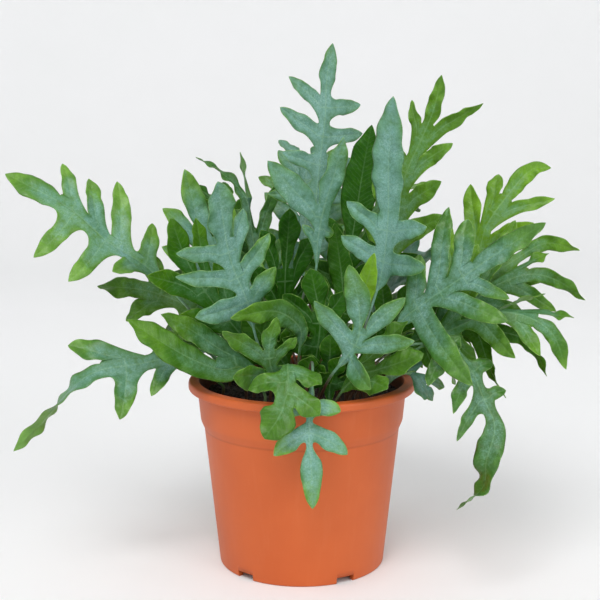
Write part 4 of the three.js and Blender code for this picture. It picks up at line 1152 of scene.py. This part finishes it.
def crumb_shape():
    """A ball of twenty triangles: the corners of three golden rectangles."""
    g = (1 + math.sqrt(5)) / 2
    flat = np.array([[a, b * g, 0] for a in (-1, 1) for b in (-1, 1)])
    corners = unit(np.vstack([flat, flat[:, [2, 0, 1]], flat[:, [1, 2, 0]]]))
    gap = np.linalg.norm(corners[:, None] - corners[None], axis=-1)
    near = (gap < 1.1) & (gap > 0.1)
    found = [[a, b, c] for a in range(12) for b in range(a + 1, 12) for c in range(b + 1, 12)
             if near[a, b] and near[b, c] and near[a, c]]
    sides = np.array(found)
    a, b, c = corners[sides].transpose(1, 0, 2)
    inward = np.sum(np.cross(b - a, c - a) * a, axis=1) < 0
    sides[inward] = sides[inward][:, ::-1]
    return corners, sides


# ---------------------------------------------------------------- finishes

# Colours, each red, green and blue from 0 to 255 as on a screen.
DEEP_GREEN, SHADE_GREEN, PIT_GREEN = (34, 84, 10), (18, 62, 3), (38, 90, 52)
FLECK_PALE, NET_PALE, MIDVEIN_PALE = (182, 208, 200), (160, 190, 150), (150, 188, 138)
MARGIN_PALE, UNDERSIDE = (156, 190, 104), (104, 146, 70)
STALK_DARK, STALK_BROWN = (58, 36, 30), (96, 70, 48)
POT_DARK, POT_LIGHT, POT_STREAK, POT_DUST = (191, 88, 36), (198, 94, 41), (206, 114, 72), (200, 128, 90)
# The first is painted shade inside the wall, the second painted shade in the corner under the band.
POT_INNER_SHADE, POT_STEP_SHADE = (52, 34, 22), (134, 56, 26)
PEAT_DARK, PEAT_BROWN, PEAT_FIBRE = (20, 14, 11), (50, 37, 28), (98, 76, 55)
PAPER = (240, 241, 241), (244, 244, 245)

# Patterns, by how often they repeat along a metre.
PATCHES, MOTTLE, LEAF_GRAIN, STALK_MOTTLE = 58.0, 260.0, 820.0, 160.0
POT_CLOUDS, POT_STREAKS, POT_GRAIN, POT_DUSTING = 14.0, 180.0, 900.0, 420.0
PEAT_LUMPS, PEAT_SPECKS, PAPER_CLOUDS = 240.0, 1300.0, 3.0
VEIN_SLANT, VEIN_WANDER, VEIN_OFTEN = 0.8, 5.0, 1.5  # of the net of side veins


def linear(colour):
    """An sRGB colour of 0 to 255 as the linear colour that the shaders take."""
    c = np.array(colour, float) / 255
    return (*np.where(c <= 0.04045, c / 12.92, ((c + 0.055) / 1.055) ** 2.4), 1.0)


class Nodes:
    """Short ways to place and join the nodes of one material or group.

    Where a value may be a number or a socket, a socket is linked and a number is set.
    """

    def __init__(self, tree):
        self.tree = tree
        self.tree.nodes.clear()

    def add(self, kind, values=None, **settings):
        node = self.tree.nodes.new(kind)
        for key, value in settings.items():
            setattr(node, key, value)
        for key, value in (values or {}).items():
            self.put(node.inputs[key], value)
        return node

    def put(self, socket, value):
        if isinstance(value, bpy.types.NodeSocket):
            self.tree.links.new(value, socket)
        else:
            socket.default_value = value

    def value(self, name):
        """A value that the mesh holds at each of its points."""
        return self.add("ShaderNodeAttribute", attribute_name=name).outputs["Fac"]

    def sums(self, kind, a, b=0.0, clamp=False):
        node = self.add("ShaderNodeMath", {0: a, 1: b}, operation=kind, use_clamp=clamp)
        return node.outputs[0]

    def plus(self, a, *others):
        for other in others:
            a = self.sums("ADD", a, other)
        return a

    def minus(self, a, b, clamp=False):
        return self.sums("SUBTRACT", a, b, clamp)

    def times(self, a, *others):
        for other in others:
            a = self.sums("MULTIPLY", a, other)
        return a

    def blend(self, share, a, b):
        """From a to b as the share goes from 0 to 1. Each is a socket or a screen colour."""
        node = self.add("ShaderNodeMix", data_type="RGBA")
        self.put(node.inputs[0], share)
        for socket, value in ((6, a), (7, b)):
            self.put(node.inputs[socket], linear(value) if isinstance(value, tuple) else value)
        return node.outputs[2]

    def step(self, x, low, high, out_low=0.0, out_high=1.0):
        """out_low at x = low, out_high at x = high, and an S-shaped change between them."""
        node = self.add("ShaderNodeMapRange", {
            "Value": x, "From Min": low, "From Max": high, "To Min": out_low,
            "To Max": out_high}, interpolation_type="SMOOTHSTEP")
        return node.outputs[0]

    def noise(self, place, scale, detail=2.0, rough=0.5):
        node = self.add("ShaderNodeTexNoise", {
            "Vector": place, "Scale": scale, "Detail": detail, "Roughness": rough})
        return node.outputs[0]

    def centred(self, value):
        return self.minus(value, 0.5)

    def fill(self, inputs, values):
        for key, value in values.items():
            self.put(inputs[key], value)

    def place(self):
        return self.add("ShaderNodeTexCoord").outputs["Object"]


def new_group(name, inputs, outputs):
    """A node group with its sockets; gives its nodes, its inputs and its output node."""
    group = bpy.data.node_groups.new(name, "ShaderNodeTree")
    kinds = {float: "NodeSocketFloat", tuple: "NodeSocketColor"}
    for key, default in inputs.items():
        socket = group.interface.new_socket(key, in_out="INPUT", socket_type=kinds[type(default)])
        socket.default_value = default
    for key, kind in outputs.items():
        group.interface.new_socket(key, in_out="OUTPUT", socket_type=kinds[kind])
    nodes = Nodes(group)
    return nodes, nodes.add("NodeGroupInput").outputs, nodes.add("NodeGroupOutput")


def leaf_group():
    """The colour, roughness and relief of a leaf.

    Bloom, the pale blue wax, lies in patches over the green. It is thin at margins, thinner
    towards the tips of lobes, and thinner on greener fronds. Pale flecks, the midvein, a faint
    net of side veins and a thin pale margin line lie over both. The stalk is brown at its foot
    and takes the blade's colour higher up.
    """
    nodes, given, out = new_group("leaf_surface", {
        "Bloom": (0.2, 0.3, 0.25, 1.0), "Green": (0.1, 0.2, 0.05, 1.0),
        "Young green": (0.2, 0.3, 0.05, 1.0), "Bloom share": 0.7, "Flecks": 0.4}, {
        "Color": tuple, "Roughness": float, "Height": float})
    place = nodes.place()
    tone, depth, rim, vein, reach, tipward, stalk, under = (
        nodes.value(name) for name in (
            "tone", "depth", "rim", "vein", "reach", "tipward", "stalk", "under"))
    patch = nodes.centred(nodes.noise(place, PATCHES, 3.0, 0.55))
    mottle = nodes.centred(nodes.noise(place, MOTTLE, 3.0, 0.6))
    grain = nodes.noise(place, LEAF_GRAIN, 3.0, 0.7)

    # How far out towards the margin a point lies, from 0 at the midvein to 1, with a broken edge.
    from_vein = nodes.sums("DIVIDE", vein, nodes.plus(vein, rim, 0.01))
    from_vein = nodes.plus(from_vein, nodes.times(mottle, 0.9))
    at_tips = nodes.step(nodes.plus(tipward, nodes.times(patch, 0.8)), 0.2, 0.85)
    bloom = nodes.minus(given["Bloom share"], nodes.times(tone, 0.7))
    for part, size in ((patch, 1.5), (mottle, 1.25), (nodes.centred(grain), 0.35)):
        bloom = nodes.plus(bloom, nodes.times(part, size))
    bloom = nodes.minus(bloom, nodes.step(from_vein, 0.35, 1.05, 0.0, 0.5))
    thin = nodes.times(at_tips, nodes.step(tone, 0.0, 0.55, 0.15, 0.85))
    bloom = nodes.minus(bloom, thin, clamp=True)

    tip_green = nodes.times(at_tips, nodes.step(tone, 0.0, 0.5, 0.3, 0.95))
    young = nodes.sums("MAXIMUM", tip_green, nodes.step(tone, 0.35, 0.95))
    young = nodes.times(nodes.minus(1.0, depth), young)
    green = nodes.blend(young, given["Green"], given["Young green"])
    green = nodes.blend(nodes.step(patch, -0.12, 0.16, 0.35, 0.0), green, DEEP_GREEN)
    colour = nodes.blend(bloom, green, given["Bloom"])
    dark = nodes.times(depth, nodes.step(mottle, -0.16, 0.2, 0.78, 0.44))
    colour = nodes.blend(dark, colour, SHADE_GREEN)

    pits = nodes.step(grain, 0.28, 0.54, 0.24, 0.0)
    colour = nodes.blend(pits, colour, PIT_GREEN)
    fleck = nodes.times(
        nodes.step(grain, 0.46, 0.72), given["Flecks"], nodes.step(patch, -0.1, 0.14, 0.25, 1.0),
        nodes.plus(nodes.times(bloom, 0.8), 0.2))
    colour = nodes.blend(fleck, colour, FLECK_PALE)

    slant = nodes.minus(reach, nodes.times(vein, VEIN_SLANT))
    slant = nodes.plus(slant, nodes.times(mottle, VEIN_WANDER))
    net = nodes.step(nodes.sums("SINE", nodes.times(slant, VEIN_OFTEN)), 0.55, 1.0)
    net = nodes.times(net, nodes.step(rim, 0.6, 3.0))
    colour = nodes.blend(nodes.times(net, 0.04), colour, NET_PALE)
    midvein = nodes.times(
        nodes.step(vein, 0.9, 0.25), nodes.step(tipward, 0.95, 0.2, 0.03, 0.16))
    colour = nodes.blend(midvein, colour, MIDVEIN_PALE)
    margin = nodes.times(
        nodes.step(rim, 0.85, 0.25), nodes.step(mottle, -0.1, 0.15, 0.08, 0.42))
    colour = nodes.blend(margin, colour, MARGIN_PALE)

    colour = nodes.blend(under, colour, nodes.blend(0.4, colour, UNDERSIDE))
    brown = nodes.blend(nodes.noise(place, STALK_MOTTLE), STALK_DARK, STALK_BROWN)
    colour = nodes.blend(nodes.step(stalk, 0.25, 0.95), colour, brown)
    nodes.fill(out.inputs, {
        "Color": colour,
        "Roughness": nodes.plus(nodes.times(bloom, 0.14), nodes.times(grain, 0.12), 0.32),
        "Height": nodes.plus(
            nodes.times(grain, 0.16), nodes.times(mottle, 0.5), nodes.times(net, 0.12))})
    return nodes.tree


def new_finish(name):
    """A material of that name, the means to place its nodes, and its shader."""
    material = bpy.data.materials.new(name)
    material.use_nodes = True
    nodes = Nodes(material.node_tree)
    shader = nodes.add("ShaderNodeBsdfPrincipled")
    nodes.put(nodes.add("ShaderNodeOutputMaterial").inputs["Surface"], shader.outputs[0])
    return material, nodes, shader


def leaf_finish(name, group, bloom, green, young, share, flecks, gloss):
    """A leaf with its own colours and amounts of bloom and flecks."""
    material, nodes, shader = new_finish(name)
    look = nodes.add("ShaderNodeGroup", node_tree=group)
    nodes.fill(look.inputs, {
        "Bloom": linear(bloom), "Green": linear(green), "Young green": linear(young),
        "Bloom share": share, "Flecks": flecks})
    bump = nodes.add("ShaderNodeBump", {
        "Strength": 0.6, "Distance": 0.0006, "Height": look.outputs["Height"]})
    nodes.fill(shader.inputs, {
        "Base Color": look.outputs["Color"], "Roughness": look.outputs["Roughness"],
        "Normal": bump.outputs[0], "Specular IOR Level": gloss})
    return material


def pot_finish():
    """Moulded plastic: an even satin skin, with faint cloudy tone, upright streaks and dust.

    Painted shade darkens the inside of the wall over the compost, in a ragged band that fades
    towards the lip, and painted shade darkens the corner under the straight band.
    """
    material, nodes, shader = new_finish("nursery_pot_plastic")
    place = nodes.place()
    cloud = nodes.noise(place, POT_CLOUDS, 3.0, 0.55)
    grain = nodes.noise(place, POT_GRAIN, 2.0, 0.5)
    stretched = nodes.add("ShaderNodeMapping", {"Vector": place, "Scale": (1.0, 1.0, 0.06)})
    streak = nodes.noise(stretched.outputs[0], POT_STREAKS, 3.0, 0.6)
    colour = nodes.blend(nodes.step(cloud, 0.3, 0.7), POT_DARK, POT_LIGHT)
    colour = nodes.blend(nodes.step(streak, 0.5, 0.8, 0.0, 0.16), colour, POT_STREAK)
    dust = nodes.step(nodes.noise(place, POT_DUSTING, 4.0, 0.7), 0.6, 0.78, 0.0, 0.14)
    colour = nodes.blend(dust, colour, POT_DUST)

    x, y, z = nodes.add("ShaderNodeSeparateXYZ", {0: place}).outputs
    radius = nodes.sums("POWER", nodes.plus(nodes.times(x, x), nodes.times(y, y)), 0.5)
    # Painted shade: the inside of the wall over the compost turns near black-brown, darkest low down.
    inside = nodes.times(
        nodes.sums("LESS_THAN", radius, INNER_SHADE_RADIUS * MM),
        nodes.sums("GREATER_THAN", z, INNER_SHADE_FOOT * MM))
    ragged = nodes.times(nodes.centred(cloud), INNER_SHADE_RAGGED * MM)
    low = nodes.step(
        nodes.plus(z, ragged), INNER_SHADE_TOP * MM, (INNER_SHADE_TOP - INNER_SHADE_FADE) * MM, 0.6, 0.92)
    colour = nodes.blend(nodes.times(inside, low), colour, POT_INNER_SHADE)
    # Painted shade: a thin darker line in the corner under the band, where the step turns out.
    from_corner = nodes.sums("ABSOLUTE", nodes.minus(z, STEP_HEIGHT * MM))
    step_shade = nodes.step(from_corner, STEP_SHADE_REACH * MM, 0.0, 0.0, 0.3)
    colour = nodes.blend(step_shade, colour, POT_STEP_SHADE)
    bump = nodes.add("ShaderNodeBump", {
        "Strength": 0.35, "Distance": 0.0002,
        "Height": nodes.plus(nodes.times(grain, 0.4), nodes.times(streak, 0.3))})
    nodes.fill(shader.inputs, {
        "Base Color": colour, "Roughness": nodes.plus(0.4, nodes.times(streak, 0.16)),
        "Normal": bump.outputs[0], "Specular IOR Level": 0.4})
    return material


def soil_finish():
    """Damp peat: near black, with brown fibres and lighter specks."""
    material, nodes, shader = new_finish("peat_compost")
    place = nodes.place()
    lump = nodes.noise(place, PEAT_LUMPS, 4.0, 0.65)
    speck = nodes.noise(place, PEAT_SPECKS, 3.0, 0.7)
    colour = nodes.blend(nodes.step(lump, 0.35, 0.7), PEAT_DARK, PEAT_BROWN)
    colour = nodes.blend(nodes.step(speck, 0.62, 0.75, 0.0, 0.45), colour, PEAT_FIBRE)
    bump = nodes.add("ShaderNodeBump", {
        "Strength": 0.9, "Distance": 0.0012, "Height": nodes.plus(lump, nodes.times(speck, 0.4))})
    nodes.fill(shader.inputs, {
        "Base Color": colour, "Normal": bump.outputs[0], "Roughness": 0.92})
    return material


# ---------------------------------------------------------------- camera, floor and light

CAMERA_PLACE, CAMERA_DOWN = (-0.0015, -1.037, 0.396), 9.45  # metres, and degrees below level
CAMERA_LENS, CAMERA_WIDTH = 75.8, 36
FLOOR_RADIUS, FLOOR_BEND, FLOOR_HEIGHT, FLOOR_SECTORS = 3.4, 1.6, 4.2, 96
FLOOR_RINGS = (0.002, 0.3, 0.9)  # radii of its flat part
WORLD_STRENGTH = 0.4
LIGHTS = [  # name, place, what it points at, size and power
    ("key", (-0.6, -2.2, 2.8), (0, 0, 0.25), 1.9, 68),
    ("fill", (1.7, -1.7, 1.2), (0, 0, 0.2), 1.3, 15),
    ("backdrop_light", (0, 0.9, 2.7), (0, 3.4, 0.9), 1.8, 12),
]


def make_camera():
    """In front of the plant, a little above it, and turned slightly down."""
    camera = bpy.data.objects.new("camera", bpy.data.cameras.new("camera"))
    bpy.context.scene.collection.objects.link(camera)
    camera.location = CAMERA_PLACE
    camera.rotation_euler = (math.radians(90 - CAMERA_DOWN), 0, 0)
    camera.data.lens = CAMERA_LENS
    camera.data.sensor_width = CAMERA_WIDTH
    bpy.context.scene.camera = camera


def make_floor():
    """A round studio floor that sweeps up into a wall all round: a quarter circle in section."""
    turn = np.linspace(0, math.pi / 2, 24)
    outline = np.vstack([
        [[radius, 0] for radius in FLOOR_RINGS],
        np.column_stack([FLOOR_RADIUS - FLOOR_BEND + FLOOR_BEND * np.sin(turn),
                         FLOOR_BEND * (1 - np.cos(turn))]),
        [[FLOOR_RADIUS, FLOOR_HEIGHT]]]) / MM
    angle = np.linspace(0, TURN, FLOOR_SECTORS + 1)
    radius, height = outline[:, 0][:, None], outline[:, 1][:, None]
    sheet = Sheet()
    sheet.add(np.stack([
        radius * np.cos(angle), radius * np.sin(angle), height + 0 * angle], axis=-1))
    points, faces, _ = sheet.joined()
    material, nodes, shader = new_finish("studio_paper")
    colour = nodes.blend(nodes.noise(nodes.place(), PAPER_CLOUDS, 2.0), *PAPER)
    nodes.fill(shader.inputs, {
        "Base Color": colour, "Roughness": 0.8, "Specular IOR Level": 0.1})
    make_piece("studio_floor", points, faces[:, ::-1], material)


def add_light(name, place, target, size, power):
    """A round soft light that shines from its place towards its target."""
    light = bpy.data.lights.new(name, "AREA")
    light.shape, light.size, light.energy = "DISK", size, power
    lamp = bpy.data.objects.new(name, light)
    bpy.context.scene.collection.objects.link(lamp)
    lamp.location = place
    way = np.array(target, float) - np.array(place, float)
    flat = math.hypot(way[0], way[1])
    lamp.rotation_euler = (math.atan2(flat, -way[2]), 0, math.atan2(-way[0], way[1]))
    lamp.visible_camera = False


def make_light():
    """An even white world, a soft key light, a fill, and a light on the backdrop."""
    world = bpy.data.worlds.new("studio")
    bpy.context.scene.world = world
    world.use_nodes = True
    background = world.node_tree.nodes["Background"]
    background.inputs["Color"].default_value = (1.0, 1.0, 1.0, 1)
    background.inputs["Strength"].default_value = WORLD_STRENGTH
    for row in LIGHTS:
        add_light(*row)


bpy.context.scene.view_settings.view_transform = "Standard"
make_camera()
make_floor()
make_light()

surface = leaf_group()
FINISHES = {
    "leaf_blue": leaf_finish("fern_leaf_blue", surface, (110, 158, 146), (58, 120, 38),
                             (128, 176, 52), 1.0, 0.25, 0.4),
    "leaf_green": leaf_finish("fern_leaf_green", surface, (98, 148, 118), (56, 112, 10),
                              (122, 170, 30), 0.86, 0.2, 0.28),
    "leaf_dark": leaf_finish("fern_leaf_dark", surface, (76, 126, 80), (46, 100, 0),
                             (102, 150, 2), 0.7, 0.1, 0.1),
    "pot": pot_finish(),
    "soil": soil_finish(),
}
make_pot(FINISHES)
make_soil(FINISHES)
ROWS = [laid_out(row) for row in FRONDS]
ROWS += [far_frond(row, index) for index, row in enumerate(FAR_FRONDS)]
for number, row in enumerate(ROWS):
    make_frond(row, number, FINISHES)
